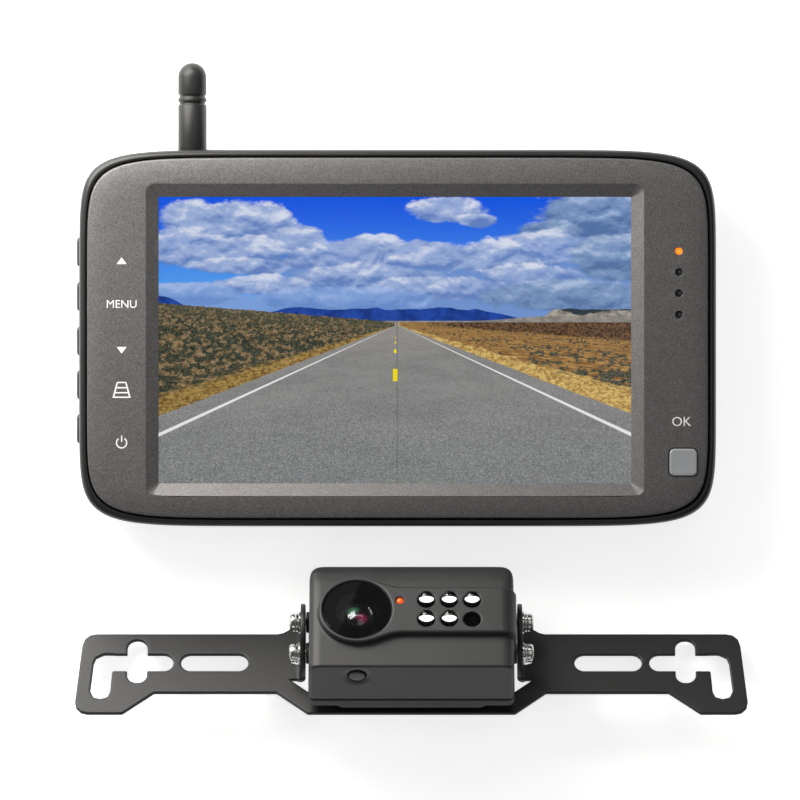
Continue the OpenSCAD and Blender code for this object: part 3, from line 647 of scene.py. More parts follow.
def lens_front():
    """Coated front lens of near-black glass, with a painted green reflection towards one side, a painted magenta one
    opposite and a faint painted reflection ring, all given as emission.
    """
    m = Mat("lens_front_painted_glints", Specular_IOR_Level=0.5, Coat_Weight=1.0, Coat_Roughness=0.02, IOR=1.6)
    x, y, z = m.xyz()
    c = (UNIT @ Vector((LENS[0], LENS[1], 27.0))) * MM
    cs, sn = math.cos(math.radians(LIE)), math.sin(math.radians(LIE))
    u = (x - c.x) * 1000.0
    v = (y - c.y) * (1000.0 * cs) - (z - c.z) * (1000.0 * sn)
    n = m.noise(420.0, 3.0, 0.5)

    def painted_glint_spot(cu, cv, ru, rv):
        a, b = (u - cu) * (1.0 / ru), (v - cv) * (1.0 / rv)
        return (1.0 - (a * a + b * b).pow(0.5) + (n - 0.5) * 0.5).step(0.0, 0.9)
    ring = (u * u + v * v).pow(0.5)
    inside = 1.0 - ring.step(3.6, 4.2)
    # painted reflections: green and magenta glints and a thin ring round them, given as emission colour
    g, r = painted_glint_spot(-1.5, 1.3, 3.0, 2.5) * inside, painted_glint_spot(1.5, -1.4, 2.8, 2.2) * inside
    painted_glint = m.mix(g, (0.0, 0.0, 0.0), (0.050, 0.17, 0.075))
    painted_glint = m.mix(r, painted_glint, (0.19, 0.012, 0.05))
    painted_ring_glint = 1.0 - (ring - 3.75).abs().step(0.08, 0.2)
    painted_glint = m.mix(painted_ring_glint * 0.5, painted_glint, (0.035, 0.02, 0.03))
    m.set("Base_Color", m.mix(n, (0.0016, 0.0016, 0.0018), (0.003, 0.003, 0.0032)))
    m.set("Roughness", n * 0.02 + 0.03)
    m.set("Emission_Color", painted_glint)
    m.b.inputs["Emission Strength"].default_value = 1.0
    return m.m


def glass(name, col=(1, 1, 1), rough=0.02, ior=1.5):
    m = Mat(name, Transmission_Weight=1.0, IOR=ior)
    n = m.noise(220.0, 3.0)
    m.set("Base_Color", m.mix(n, [c * 0.97 for c in col], col))
    m.set("Roughness", n * 0.015 + rough)
    lp = m.nt.nodes.new("ShaderNodeLightPath")
    tr = m.nt.nodes.new("ShaderNodeBsdfTransparent")
    tr.inputs[0].default_value = (*[c * 0.9 for c in col], 1)
    mx = m.nt.nodes.new("ShaderNodeMixShader")
    m.nt.links.new(lp.outputs["Is Shadow Ray"], mx.inputs[0])
    m.nt.links.new(m.b.outputs[0], mx.inputs[1])
    m.nt.links.new(tr.outputs[0], mx.inputs[2])
    m.nt.links.new(mx.outputs[0], m.out.inputs[0])
    return m.m


def glow(name, col, strength, base):
    m = Mat(name, Specular_IOR_Level=0.6)
    n = m.noise(700.0, 2.0)
    m.set("Base_Color", m.mix(n, [c * 0.8 for c in base], base))
    m.set("Roughness", n * 0.1 + 0.22)
    m.set("Emission_Color", m.mix(n, [c * 0.85 for c in col], col))
    m.b.inputs["Emission Strength"].default_value = strength
    return m.m


M = {
    "bezel": bezel_paint(),
    "rim": plastic("rim_plastic", (0.012, 0.0125, 0.0125), rough=0.34, grain=2600, bump=0.15, edge=0.12, spec=0.45),
    "back": plastic("back_plastic", (0.016, 0.0165, 0.017), rough=0.56, grain=1100, bump=0.6, edge=0.2),
    "picture": screen_picture(),
    "glass": glass("screen_glass", rough=0.01, ior=1.14),
    "rubber": plastic("black_rubber", (0.012, 0.012, 0.0125), rough=0.75, grain=900, bump=0.5, edge=0.0),
    "tin": metal("tin_plate", (0.62, 0.62, 0.63), 0.34, True),
    "board": board("circuit_board"),
    "switch": plastic("switch_plastic", (0.02, 0.02, 0.02), rough=0.5, edge=0.1),
    "key": plastic("key_plastic", (0.018, 0.0185, 0.019), rough=0.42, grain=1800, edge=0.3),
    "silver": plastic("silver_key", (0.30, 0.31, 0.325), rough=0.3, grain=3000, bump=0.15, edge=0.3, coat=0.4, vary=0.05),
    "amber": glow("amber_lamp", (1.0, 0.22, 0.01), 1.2, (0.9, 0.25, 0.03)),
    "dark_lamp": glow("dark_lamp", (0.02, 0.02, 0.02), 0.05, (0.016, 0.016, 0.018)),
    "speaker": plastic("speaker_black", (0.03, 0.03, 0.03), rough=0.7, edge=0.0),
    "black_steel": metal("black_steel", (0.055, 0.055, 0.06), 0.4),
    "steel": metal("bright_steel", (0.70, 0.69, 0.67), 0.24),
    "brass": metal("brass", (0.72, 0.52, 0.24), 0.3),
    "antenna": plastic("antenna_plastic", (0.012, 0.0132, 0.0126), rough=0.42, grain=2400, bump=0.2, edge=0.05, spec=0.4),
    "coat": plastic("powder_coat", (0.012, 0.0125, 0.013), rough=0.44, grain=760, grain_h=0.00006, bump=0.5, edge=0.3, spec=0.4),
    "housing": plastic("housing_plastic", (0.0230, 0.0244, 0.0246), rough=0.50, grain=1300, bump=0.45, edge=0.12, spec=0.45),
    "cover": plastic("cover_plastic", (0.019, 0.0195, 0.020), rough=0.55, grain=1300, bump=0.45, edge=0.15, spec=0.45),
    "window": glass("lens_glass", (0.9, 0.92, 0.95), 0.01),
    "lens_black": plastic("lens_black", (0.0016, 0.0016, 0.0018), rough=0.70, grain=3000, bump=0.05, edge=0.0, spec=0.02),
    "status": glow("status_lamp_lens", (1.0, 0.10, 0.01), 0.75, (0.8, 0.12, 0.02)),
    # front lens glass with painted green and magenta reflections
    "lens_painted_glints": lens_front(),
    "coat_red": lens_coat("coated_glass_red", (0.05, 0.006, 0.02)),
    "clear": glass("clear_lamp", (1, 1, 1), 0.0, 1.5),
    "print": plastic("white_print", (0.80, 0.80, 0.79), rough=0.55, grain=2500, bump=0.2, edge=0.0, vary=0.03),
    "mirror": plastic("lamp_reflector", (0.88, 0.88, 0.87), rough=0.4, grain=3000, bump=0.1, edge=0.0, vary=0.03),
}

# ================================================================== monitor
NS, NC = (64, 44), 10
R_IN = rrect(WIN[0], WIN[1], 0.45, NS, NC, WC)
R_OUT = rrect(WIN[0] + 2 * SLOPE_W, WIN[1] + 2 * SLOPE_W, 2.5, NS, NC, WC)
DIRS = R_OUT - np.array(WC) * 0.0


def bezel_ring(t, grow=0.0):
    """0 is the sloped frame's outer edge, 1 the bezel's outline."""
    o = sell_at(DIRS, BA, BB)
    return R_OUT + (o - R_OUT) * t


def bezel():
    rings = []
    out = sell_at(DIRS, BA, BB)

    def outline(inset):
        return sell_at(DIRS, BA - inset, BB - inset)
    rings.append(at_z(outline(0.0), TOP - 5.4))
    rings.append(at_z(outline(0.0), TOP - 1.4))
    for a in (20, 45, 70, 90):                      # rounded outer edge
        s, c = math.sin(math.radians(a)), math.cos(math.radians(a))
        rings.append(at_z(outline(0.7 * (1 - c)), TOP - 1.35 + 0.7 * s))
    for i, t in enumerate((2.0, 4.0, 6.5)):         # gently curved border
        k = 1 - (t - 0.7) / 5.8
        rings.append(at_z(outline(t), TOP - 0.65 * k * k))
    for t in (0.75, 0.5, 0.25):
        o6 = outline(6.5)
        rings.append(at_z(R_OUT + (o6 - R_OUT) * t, TOP))
    e = rrect(WIN[0] + 2 * SLOPE_W + 0.7, WIN[1] + 2 * SLOPE_W + 0.7, 2.8, NS, NC, WC)
    rings.append(at_z(e, TOP))
    rings.append(at_z(rrect(WIN[0] + 2 * SLOPE_W + 0.2, WIN[1] + 2 * SLOPE_W + 0.2, 2.6, NS, NC, WC), TOP - 0.06))
    for t in (0.06, 0.35, 0.65, 0.97):
        rings.append(at_z(R_OUT + (R_IN - R_OUT) * t, TOP - 0.15 - (SLOPE_D - 0.15) * t))
    rings.append(at_z(R_IN, TOP - SLOPE_D - 0.02))
    rings.append(at_z(outline(1.6), TOP - SLOPE_D - 0.02))
    rings.append(at_z(outline(1.6), TOP - 5.4))
    v, f = loft(rings, wrap=True)
    o = add("bezel", v, f, M["bezel"], None)
    cut = [xform(lathe([(0, -4), (1.2, -4), (1.2, -0.12), (1.34, 0.02), (1.34, 2), (0, 2)], 40), Matrix.Translation((LAMP_X, y, TOP))) for y in LAMPS_Y]
    w = OKW + 0.7
    cut.append(loft([at_z(rrect(w, w - 0.15, 2.0, (6, 6), 8, OK), z) for z in (TOP - 4, TOP - 0.15)] + [at_z(rrect(w + 0.25, w + 0.1, 2.1, (6, 6), 8, OK), z) for z in (TOP + 0.05, TOP + 2)]))
    cv, cf = merge(cut)
    boolean(o, add("cutter", cv, cf, None, None))
    reshade(o, 40)
    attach(o, "monitor")
    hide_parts("front_bezel")


def case_rear():
    D = rrect(180, 108, 12, (60, 40), 14)

    def ol(inset):
        return sell_at(D, HA - inset, HB - inset)
    pad = [rrect(136 - 2 * q, 78 - 2 * q, 9 - q, (60, 40), 14, (0, -2)) for q in (0, 0.0, 0.25, 0.8)]
    zt = 24.4
    rings = [at_z(pad[3], 0.0), at_z(pad[2], 0.2), at_z(pad[1], 0.75), at_z(rrect(136.0, 78, 9, (60, 40), 14, (0, -2)), 2.4), at_z(rrect(137.4, 79.4, 9.7, (60, 40), 14, (0, -2)), 3.0)]
    rings += [at_z(ol(8.2), 3.0), at_z(ol(7.2), 3.12), at_z(ol(6.2), 3.75), at_z(ol(0.9), 8.25), at_z(ol(0.25), 9.1), at_z(ol(0.0), 10.2)]
    rings += [at_z(ol(0.0), 12.5), at_z(ol(0.0), 17.5), at_z(ol(0.0), zt - 2.6)]
    for a in (15, 35, 55, 75, 90):                  # rounded rim
        s, c = math.sin(math.radians(a)), math.cos(math.radians(a))
        rings.append(at_z(ol(1.7 * (1 - c)), zt - 2.6 + 2.6 * s))
    rings += [at_z(ol(2.05), zt - 0.1), at_z(ol(2.33), zt - 0.5), at_z(ol(2.38), zt - 1.2), at_z(ol(2.38), zt - 4.5)]
    rings += [at_z(ol(2.4), 9.6), at_z(ol(9.2), 5.2)]
    v, f = loft(rings)
    o = add("case_rear", v, f, None, None)
    # the antenna's recess keeps walls inside the case
    x0, x1, y0, zc = CH
    blk = loft([at_z(rrect(x1 - x0 + 3.4, 30, 1.5, (4, 4), 3, ((x0 + x1) / 2, y0 - 1.7 + 15)), z) for z in (4.0, zc + 1.7)])
    clip = loft([at_z(ol(1.2), z) for z in (2.0, 23.0)])
    b = add("blk", *blk, None, None)
    boolean(b, add("clip", *clip, None, None), "INTERSECT")
    boolean(o, b, "UNION")
    cut = [loft([at_z(rrect(x1 - x0, 60, 1.2, (6, 6), 5, ((x0 + x1) / 2, y0 + 30)), z) for z in (-2.0, zc)])]
    for q in SCREWS:
        cut.append(xform(lathe([(0, -1), (2.9, -1), (2.6, 3.4), (2.6, 5.15), (0, 5.15)], 40), Matrix.Translation((q[0], q[1], 0))))
    for q in MOUNTS:
        cut.append(xform(lathe([(0, -1), (2.8, -1), (2.8, 6.45), (0, 6.45)], 40), Matrix.Translation((q[0], q[1], 0))))
    for i in range(-3, 4):
        L = 2 * math.sqrt(144 - 9 * i * i)
        cut.append(loft([at_z(rrect(L, 1.3, 0.6, (4, 2), 6, (70, -30 + i * 3)), z) for z in (-1.0, 8.0)]))
    for y in KEYS_Y:
        r = rrect(5.0, 9.7, 1.5, (3, 4), 6)
        cut.append(loft([np.column_stack([np.full(len(r), x), r[:, 1] + y, -r[:, 0] + KEY_Z]) for x in (-HA - 3, -HA + 6)]))
    c = xform(lathe([(0, -6), (4.2, -6), (4.2, 3), (0, 3)], 48), Matrix.Translation((HA, JACK_Y, 14)) @ Matrix.Rotation(math.pi / 2, 4, "Y"))
    cut.append(c)
    cv, cf = merge(cut)
    cutter = add("cutter", cv, cf, None, None)
    boolean(o, cutter)
    me = o.data
    me.materials.clear()
    me.materials.append(M["rim"])
    me.materials.append(M["back"])
    for p in me.polygons:
        p.material_index = 0 if p.center.z > 0.0185 else 1
    reshade(o, 35)
    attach(o, "monitor")
    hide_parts("rear_shell")


def side_key(name, node, y, body):
    def ring(w, h, r, x):
        p = rrect(w, h, r, (6, 10), 8)
        return np.column_stack([np.full(len(p), x), p[:, 1] + y, p[:, 0] + KEY_Z])
    s = -1.0
    rings = [ring(6.6, 11.3, 1.5, -99.4), ring(6.6, 11.3, 1.5, -100.15), ring(4.6, 9.3, 1.4, -100.2), ring(4.6, 9.3, 1.4, -103.2)]
    for a in (25, 50, 75, 90):
        q = 0.5 * (1 - math.cos(math.radians(a)))
        rings.append(ring(4.6 - 2 * q, 9.3 - 2 * q, 1.4 - q * 0.6, -103.2 - 0.5 * math.sin(math.radians(a))))
    rings.append(ring(2.6, 7.2, 0.9, -103.78))
    v1, f1 = loft(rings)
    nub = xform(lathe([(0, 0), (1.4, 0), (1.4, 1.3), (1.15, 1.5), (0, 1.5)], 32), Matrix.Translation((-99.45, y, KEY_Z)) @ Matrix.Rotation(math.pi / 2, 4, "Y"))
    v, f = merge([(v1, f1), nub])
    add(name, v, f, M["key"], body, [node], "key_plastic", smooth=40)


def ok_key():
    def ring(q, z, r=1.7):
        return at_z(rrect(OKW - 2 * q, OKW - 0.1 - 2 * q, max(0.5, r - q), (10, 10), 8, OK), z)
    rings = [ring(-0.9, 22.8, 2.0), ring(-0.9, 23.6, 2.0), ring(0, 23.65), ring(0, TOP - 0.25)]
    for a in (25, 50, 75, 90):
        rings.append(ring(0.5 * (1 - math.cos(math.radians(a))), TOP - 0.25 + 0.5 * math.sin(math.radians(a))))
    rings += [ring(1.3, TOP + 0.22), ring(2.2, TOP + 0.17), ring(3.0, TOP + 0.15)]
    nub = xform(lathe([(0, 0), (1.4, 0), (1.6, 0.2), (1.6, 1.7), (0, 1.7)], 32), Matrix.Translation((OK[0], OK[1], 21.2)))
    v, f = merge([loft(rings), nub])
    add("ok_key_cap", v, f, M["silver"], "key_ok", ["ok_key"], "silver_key", smooth=40)


def lamps():
    def one(y):
        a = xform(lathe([(0, 19.6), (1.05, 19.6), (1.05, 25.25)] + [(1.05 * math.cos(math.radians(t)), 25.25 + 0.25 * math.sin(math.radians(t))) for t in (30, 60)] + [(0, 25.5)], 36), Matrix.Translation((LAMP_X, y, 0)))
        b = loft([at_z(rrect(3.2, 2.4, 0.3, (2, 2), 4, (LAMP_X, y)), z) for z in (17.42, 19.6)])
        return merge([a, b])
    add("lamp_amber", *one(LAMPS_Y[0]), M["amber"], "monitor", ["indicator_lamp_amber"], "amber_lamp", smooth=40)
    add("lamps_dark", *merge([one(y) for y in LAMPS_Y[1:]]), M["dark_lamp"], "monitor", ["indicator_lamps_dark"], "dark_lamp", smooth=40)


def antenna():
    L, r = ANT_L, ANT_R
    M0 = Matrix.Translation(ANT) @ Matrix.Rotation(-math.pi / 2, 4, "X")
    p = [(0.75, 5.25), (r - 0.25, 5.25), (r, 5.5)]
    for g in (26.0, 28.3):
        p += [(r, g - 0.75), (r - 0.12, g - 0.5), (r - 0.45, g - 0.3), (r - 0.5, g), (r - 0.45, g + 0.3), (r - 0.12, g + 0.5), (r, g + 0.75)]
    p += [(r * math.cos(math.radians(a)), L - r + r * math.sin(math.radians(a))) for a in range(0, 90, 6)] + [(0, L), ]
    v, f = lathe(p, 72)
    v2, f2 = lathe([(0.75, 5.25), (0.75, L - r)], 24)
    add("antenna_whip", *merge([(v, f)]), M["antenna"], "antenna", ["antenna_sleeve"], "antenna_plastic", xf=M0, smooth=50)
    # knuckle: round at the pivot, square towards the sleeve
    x = grid((-5.2, -5.2, 3.4), (5.2, 5.6, 13.8), 0.2)
    X, Y, Z = x
    d = np.minimum(np.sqrt(X ** 2 + Y ** 2) - r, sd_box2(X, Y, 0, 2.6, r, 2.6))
    d = smax(d, np.abs(Z - 8.6) - 4.6, 1.2)
    d = np.maximum(d, -(np.sqrt(X ** 2 + Y ** 2) - 1.55 + 0 * Z))
    d = smax(d, Y - 5.2 + 0 * X + 0 * Z, 0.8)
    P, Q, N = nets(d.astype(np.float32), (-5.2, -5.2, 3.4), 0.2)
    add("antenna_knuckle_block", P, Q, M["antenna"], "antenna", ["antenna_knuckle"], "antenna_plastic", xf=Matrix.Translation((ANT[0], ANT[1], 0)), normals=N)


def flat_shape(polys, z, h=0.04):
    """Thin raised print from 2D polygons, each with a flat top."""
    parts = []
    for p in polys:
        p = np.array(p, float)
        a = 0.5 * np.sum(p[:, 0] * np.roll(p[:, 1], -1) - np.roll(p[:, 0], -1) * p[:, 1])
        if a < 0:
            p = p[::-1]
        parts.append(loft([at_z(p, z - 0.03), at_z(p, z + h)]))
    return merge(parts)


def labels():
    lx = -88.9
    tri = lambda cx, cy, s: [(cx - 1.6, cy - 1.0 * s), (cx + 1.6, cy - 1.0 * s), (cx, cy + 1.15 * s)]
    add("mark_up", *flat_shape([tri(lx, 24.8, 1)], TOP), M["print"], "monitor", smooth=30)
    add("mark_down", *flat_shape([tri(lx, -3.9, -1)], TOP), M["print"], "monitor", smooth=30)
    # guide lines: a narrowing ladder
    gy = -16.8
    bars = []
    for s in (-1, 1):
        bars.append([(lx + s * 2.95, gy - 2.5), (lx + s * 2.45, gy - 2.5), (lx + s * 1.15, gy + 2.5), (lx + s * 1.6, gy + 2.5)])
    for yy, hw in ((2.45, 1.4), (0.75, 1.7), (-0.85, 2.15), (-2.3, 2.5)):
        t = 0.42
        bars.append([(lx - hw, gy + yy - t / 2), (lx + hw, gy + yy - t / 2), (lx + hw, gy + yy + t / 2), (lx - hw, gy + yy + t / 2)])
    add("mark_guides", *flat_shape(bars, TOP), M["print"], "monitor", smooth=30)
    # standby sign: an open ring and a stroke
    py, r0, r1 = -33.8, 1.45, 1.85
    ang = [math.radians(a) for a in range(125, 416, 10)]
    ring = [(lx + r1 * math.cos(a), py + r1 * math.sin(a)) for a in ang] + [(lx + r0 * math.cos(a), py + r0 * math.sin(a)) for a in reversed(ang)]
    parts = []
    for a, b in zip(ang[:-1], ang[1:]):
        parts.append([(lx + r0 * math.cos(a), py + r0 * math.sin(a)), (lx + r1 * math.cos(a), py + r1 * math.sin(a)), (lx + r1 * math.cos(b), py + r1 * math.sin(b)), (lx + r0 * math.cos(b), py + r0 * math.sin(b))])
    parts.append([(lx - 0.2, py + 0.3), (lx + 0.2, py + 0.3), (lx + 0.2, py + 2.3), (lx - 0.2, py + 2.3)])
    add("mark_standby", *flat_shape(parts, TOP), M["print"], "monitor", smooth=30)
    for name, body, size, pos in (("word_menu", "MENU", 3.65, (lx, 10.8)), ("word_ok", "OK", 4.3, (91.5, -27.1))):
        cu = bpy.data.curves.new(name, "FONT")
        cu.body, cu.size, cu.extrude = body, size * MM, 0.035 * MM
        cu.align_x, cu.align_y = "CENTER", "CENTER"
        cu.resolution_u = 4
        o = bpy.data.objects.new(name + "_c", cu)
        bpy.context.scene.collection.objects.link(o)
        dg = bpy.context.evaluated_depsgraph_get()
        me = bpy.data.meshes.new_from_object(o.evaluated_get(dg))
        bpy.data.objects.remove(o)
        co = np.array([v.co for v in me.vertices]) / MM
        co = co + np.array([pos[0], pos[1], TOP + 0.0])
        fs = [tuple(p.vertices) for p in me.polygons]
        add(name, co, fs, M["print"], "monitor", smooth=30)


def screen():
    a = rrect(162, 101, 0.6, (8, 8), 4, WC)
    v, f = loft([at_z(a, 20.42), at_z(a, 22.2), at_z(rrect(161.7, 100.7, 0.5, (8, 8), 4, WC), 22.34)])
    add("lcd_sheet", v, f, M["picture"], "monitor", ["lcd_panel"], "lcd_picture", smooth=30)
    g = [at_z(rrect(WIN[0] + 4 - q, WIN[1] + 4 - q, 1.5, (8, 8), 6, WC), z) for q, z in ((0.3, 22.92), (0, 23.05), (0, 23.6), (0.3, 23.74))]
    add("screen_pane", *loft(g), M["glass"], "monitor", ["screen_glass"], "screen_glass", smooth=30)


# ================================================================== camera unit
def bracket():
    h = 0.3
    lo, hi = (-0.9, -32.0, -0.9), (110.0, 4.6, 23.0)
    # only the right half is worked out, then mirrored
    X, Y, Z = grid((-1.2, lo[1], lo[2]), hi, h)
    s = [(0, -30.8), (33.5, -30.8), (43.6, -ARM_H), (83.2, -ARM_H), (93.4, -30.8), (104.6, -30.8), (106.8, -30.2), (108.3, -28.6), (108.75, -26.3),
         (106.9, -4.6), (106.2, -2.1), (104.5, -0.5), (102.2, 0), (43.4, 0), (41.6, 0.5), (38.0, 2.9), (36.6, 3.2), (34.2, 3.2), (34.2, -17.8), (39.3, -17.8), (33.3, -22.5), (0, -22.5)]
    s = [(-30, -30.8)] + s + [(-30, -22.5)]
    x2, y2 = X[:, :, 0], Y[:, :, 0]
    p = sd_poly(x2, y2, s)
    rel = sd_poly(x2, y2, [(EAR_OUT - 0.4, -3.0), (39.1, -5.2), (39.1, -11.2), (EAR_OUT - 0.4, -12.4)])
    slot1 = sd_box2(x2, y2, 63.8, -11.2, 10.9, 3.2, 3.19)
    slot2 = sd_box2(x2, y2, (77.2 + 102) / 2, -11.2, (102 - 77.2) / 2, 3.2, 3.1)
    slot2 = np.minimum(slot2, sd_box2(x2, y2, 88.9, -10.7, 3.2, 8.3, 3.1))
    leg = sd_poly(x2, y2, [(96.6, -8.0), (99.5, -8.0), (102.2, -9.2), (103.0, -11.4), (103.9, -22.2), (102.8, -24.6), (100.6, -25.2), (98.3, -24.4), (97.5, -22.2)])
    slot2 = smin(slot2, leg, 0.6)
    p = smax(smax(smax(p, -slot1, 0.3), -slot2, 0.3), -rel, 0.3)
    plate = smax(p[:, :, None], np.abs(Z - 0.8) - 0.8, 0.45)
    # ear, with pivot hole and arc slot
    y3, z3 = Y[0], Z[0]
    e = np.minimum(sd_box2(y3, z3, EAR_CY, EAR_CZ / 2, EAR_R, EAR_CZ / 2), np.sqrt((y3 - EAR_CY) ** 2 + (z3 - EAR_CZ) ** 2) - EAR_R)
    e = smax(e, -(np.sqrt((y3 - PIV_Y) ** 2 + (z3 - PIV_Z) ** 2) - 1.58), 0.2)
    ang = np.clip(np.arctan2(z3 - PIV_Z, PIV_Y - y3), math.radians(-1), math.radians(21))
    arcd = np.sqrt((y3 - (PIV_Y - LOCK_R * np.cos(ang))) ** 2 + (z3 - (PIV_Z + LOCK_R * np.sin(ang))) ** 2) - 1.66
    e = smax(e, -arcd, 0.2)
    ear = smax(e[None], np.abs(X - (EAR_IN + 0.8)) - 0.8, 0.45)
    d = smin(plate, ear, 1.6)
    q1, q2 = (EAR_IN + 2.3) - X, 2.3 - Z
    corner = np.sqrt(np.maximum(q1, 0) ** 2 + np.maximum(q2, 0) ** 2) + np.minimum(np.maximum(q1, q2), 0) - 2.3
    cutk = smax(np.maximum(-corner, X - 38.0), -(Y + 18.3), 0.3)
    d = smax(d, -cutk + 0 * d, 0.2)
    P, Q, N = nets(d.astype(np.float32), (-1.2, lo[1], lo[2]), h)
    # keep x >= 0, mirror, and join at the middle
    keep = P[:, 0] > 0
    m = keep[Q].all(1)
    Qr = Q[m]
    # snap the open edge to x = 0
    lowc = P[:, 0] < h * 1.01
    P[lowc & keep, 0] = 0.0
    N[lowc & keep, 0] = 0.0
    used = np.unique(Qr)
    remap = np.full(len(P), -1)
    remap[used] = np.arange(len(used))
    Pr, Nr, Qr = P[used], N[used], remap[Qr]
    on = Pr[:, 0] == 0.0
    mirror_idx = np.where(on, np.arange(len(Pr)), len(Pr) + np.cumsum(~on) - 1)
    Pm, Nm = Pr[~on] * [-1, 1, 1], Nr[~on] * [-1, 1, 1]
    Qm = mirror_idx[Qr][:, ::-1]
    ok = (np.sort(Qm, 1)[:, 1:] != np.sort(Qm, 1)[:, :-1]).all(1)
    allQ = np.concatenate([Qr, Qm[ok]])
    add("plate_sheet", np.concatenate([Pr, Pm]), allQ, M["coat"], "bracket", ["plate_bracket"], "powder_coat", xf=UNIT, normals=np.concatenate([Nr, Nm]))


def side(i=0.0):
    return [(-4, BY0 + i), (27.3 - i, BY0 + i), (27.8 - i, BY0 + 0.2 + i), (FRONT - i, BY0 + 0.7 + i), (FRONT - i, -2), (27.7 - i, 3),
            (27.0 - i, 7 - i * 0.5), (26.0 - i * 0.9, 9.6 - i * 0.9), (24.6 - i * 0.7, TOPY - 0.2 - i), (23 - i * 0.5, TOPY - i), (-4, TOPY - i)]


def body_field(X, Y, Z, i=0.0):
    """The camera body's outer form, larger by -i; its top face leans back to the rear cover."""
    x2, y2 = X[:, :, 0], Y[:, :, 0]
    top = sd_box2(x2, y2, 0, (TOPY + BY0) / 2 - 6, CAM_HW, (TOPY - BY0) / 2 + 6, 6.4)
    bot = sd_box2(x2, y2, 0, (TOPY + BY0) / 2 + 6, CAM_HW, (TOPY - BY0) / 2 + 6, 2.2)
    o = np.maximum(top, bot)
    xz = np.broadcast_to(Z[0], (X.shape[0], Z.shape[2]))
    pl = sd_box2(X[:, 0, :], xz, 0, FRONT / 2 - 10, CAM_HW, FRONT / 2 + 10, 4.5)
    sp = sd_poly(Y[0], Z[0] + 0 * Y[0], [(b, a) for a, b in side()])
    c, t = math.cos(math.radians(LEAN)), math.sin(math.radians(LEAN))
    yl = (Y - BY1) * c - (Z - SEAM) * t
    lean = sd_box2(X + 0 * yl, yl + 0 * X, 0, -30, CAM_HW, 30, 5.3)
    d = smax(smax(o[:, :, None], pl[:, None, :], 1.2), sp[None], 1.4)
    return smax(d, lean, 1.0) + i


def camera_front():
    h = 0.22
    lo, hi = (-35.0, -31.2, 7.6), (35.0, 12.2, 31.4)
    X, Y, Z = grid(lo, hi, h)
    body = body_field(X, Y, Z)
    x2, y2 = X[:, :, 0], Y[:, :, 0]
    rl = np.sqrt((x2 - LENS[0]) ** 2 + (y2 - LENS[1]) ** 2)
    key = smin(rl - 12.5, sd_box2(x2, y2, LENS[0] + 40, LENS[1], 40, 8.85, 0.5), 5.0)
    xz = np.broadcast_to(Z[0], (X.shape[0], Z.shape[2]))
    pp = sd_box2(X[:, 0, :], xz, 0, PANEL / 2 - 10, CAM_HW + 0.4, PANEL / 2 + 10, 5.0)
    panel = smax(smax(key[:, :, None], pp[:, None, :], 1.1), 19.0 - Z, 0.8)
    d = smin(body, panel, 0.7)
    # lens seat: a round-edged ring round the window
    rl3 = rl[:, :, None]
    d = smax(d, -np.maximum(rl3 - LENS_R, 28.9 - Z), 0.9)
    d = np.maximum(d, -np.maximum(rl3 - 9.2, 20.0 - Z))
    for x in LED_X:
        for y in LED_Y:
            q = np.sqrt((x2 - x) ** 2 + (y2 - y) ** 2)[:, :, None]
            d = smax(d, -np.maximum(q - 2.78, 20 - Z), 0.45)
    q = np.sqrt((x2 + 3.7) ** 2 + (y2 - LED_Y[0]) ** 2)[:, :, None]
    d = smax(d, -np.maximum(q - 1.32, 20 - Z), 0.3)
    # hollow inside
    d = np.maximum(d, -np.maximum(body_field(X, Y, Z, 2.0), Z - 24.5))
    # push button's hole and the shallow dish round it
    qb = np.sqrt((X - LENS[0]) ** 2 + (Z - PAIR_Z) ** 2)
    d = np.maximum(d, -np.maximum(qb - 3.0, Y + 26.0))
    dish = np.sqrt((X - LENS[0]) ** 2 + (Z - PAIR_Z) ** 2 + (Y - (BY0 - 9.3)) ** 2) - 10.6
    d = smax(d, -dish, 0.4)
    # pads at the side screws
    for py in (PIV_Y, PIV_Y - LOCK_R):
        r = np.sqrt((Y - py) ** 2 + (Z - PIV_Z) ** 2)
        pad = smax(r - 3.4 + 0 * X, np.abs(np.abs(X) - 31.8) - 2.28, 0.3)
        d = smin(d, pad, 0.4)
        d = np.maximum(d, -np.maximum(r - 1.66, 26.5 - np.abs(X)))
        d = np.maximum(d, -np.maximum(r - 2.34, np.abs(np.abs(X) - 29.8) - 3.25))
    d = smax(d, SEAM + 0.02 - Z + 0 * d, 0.35)
    P, Q, N = nets(d.astype(np.float32), lo, h)
    add("camera_shell_front", P, Q, M["housing"], "camera", ["camera_front_housing"], "housing_plastic", xf=UNIT, normals=N)


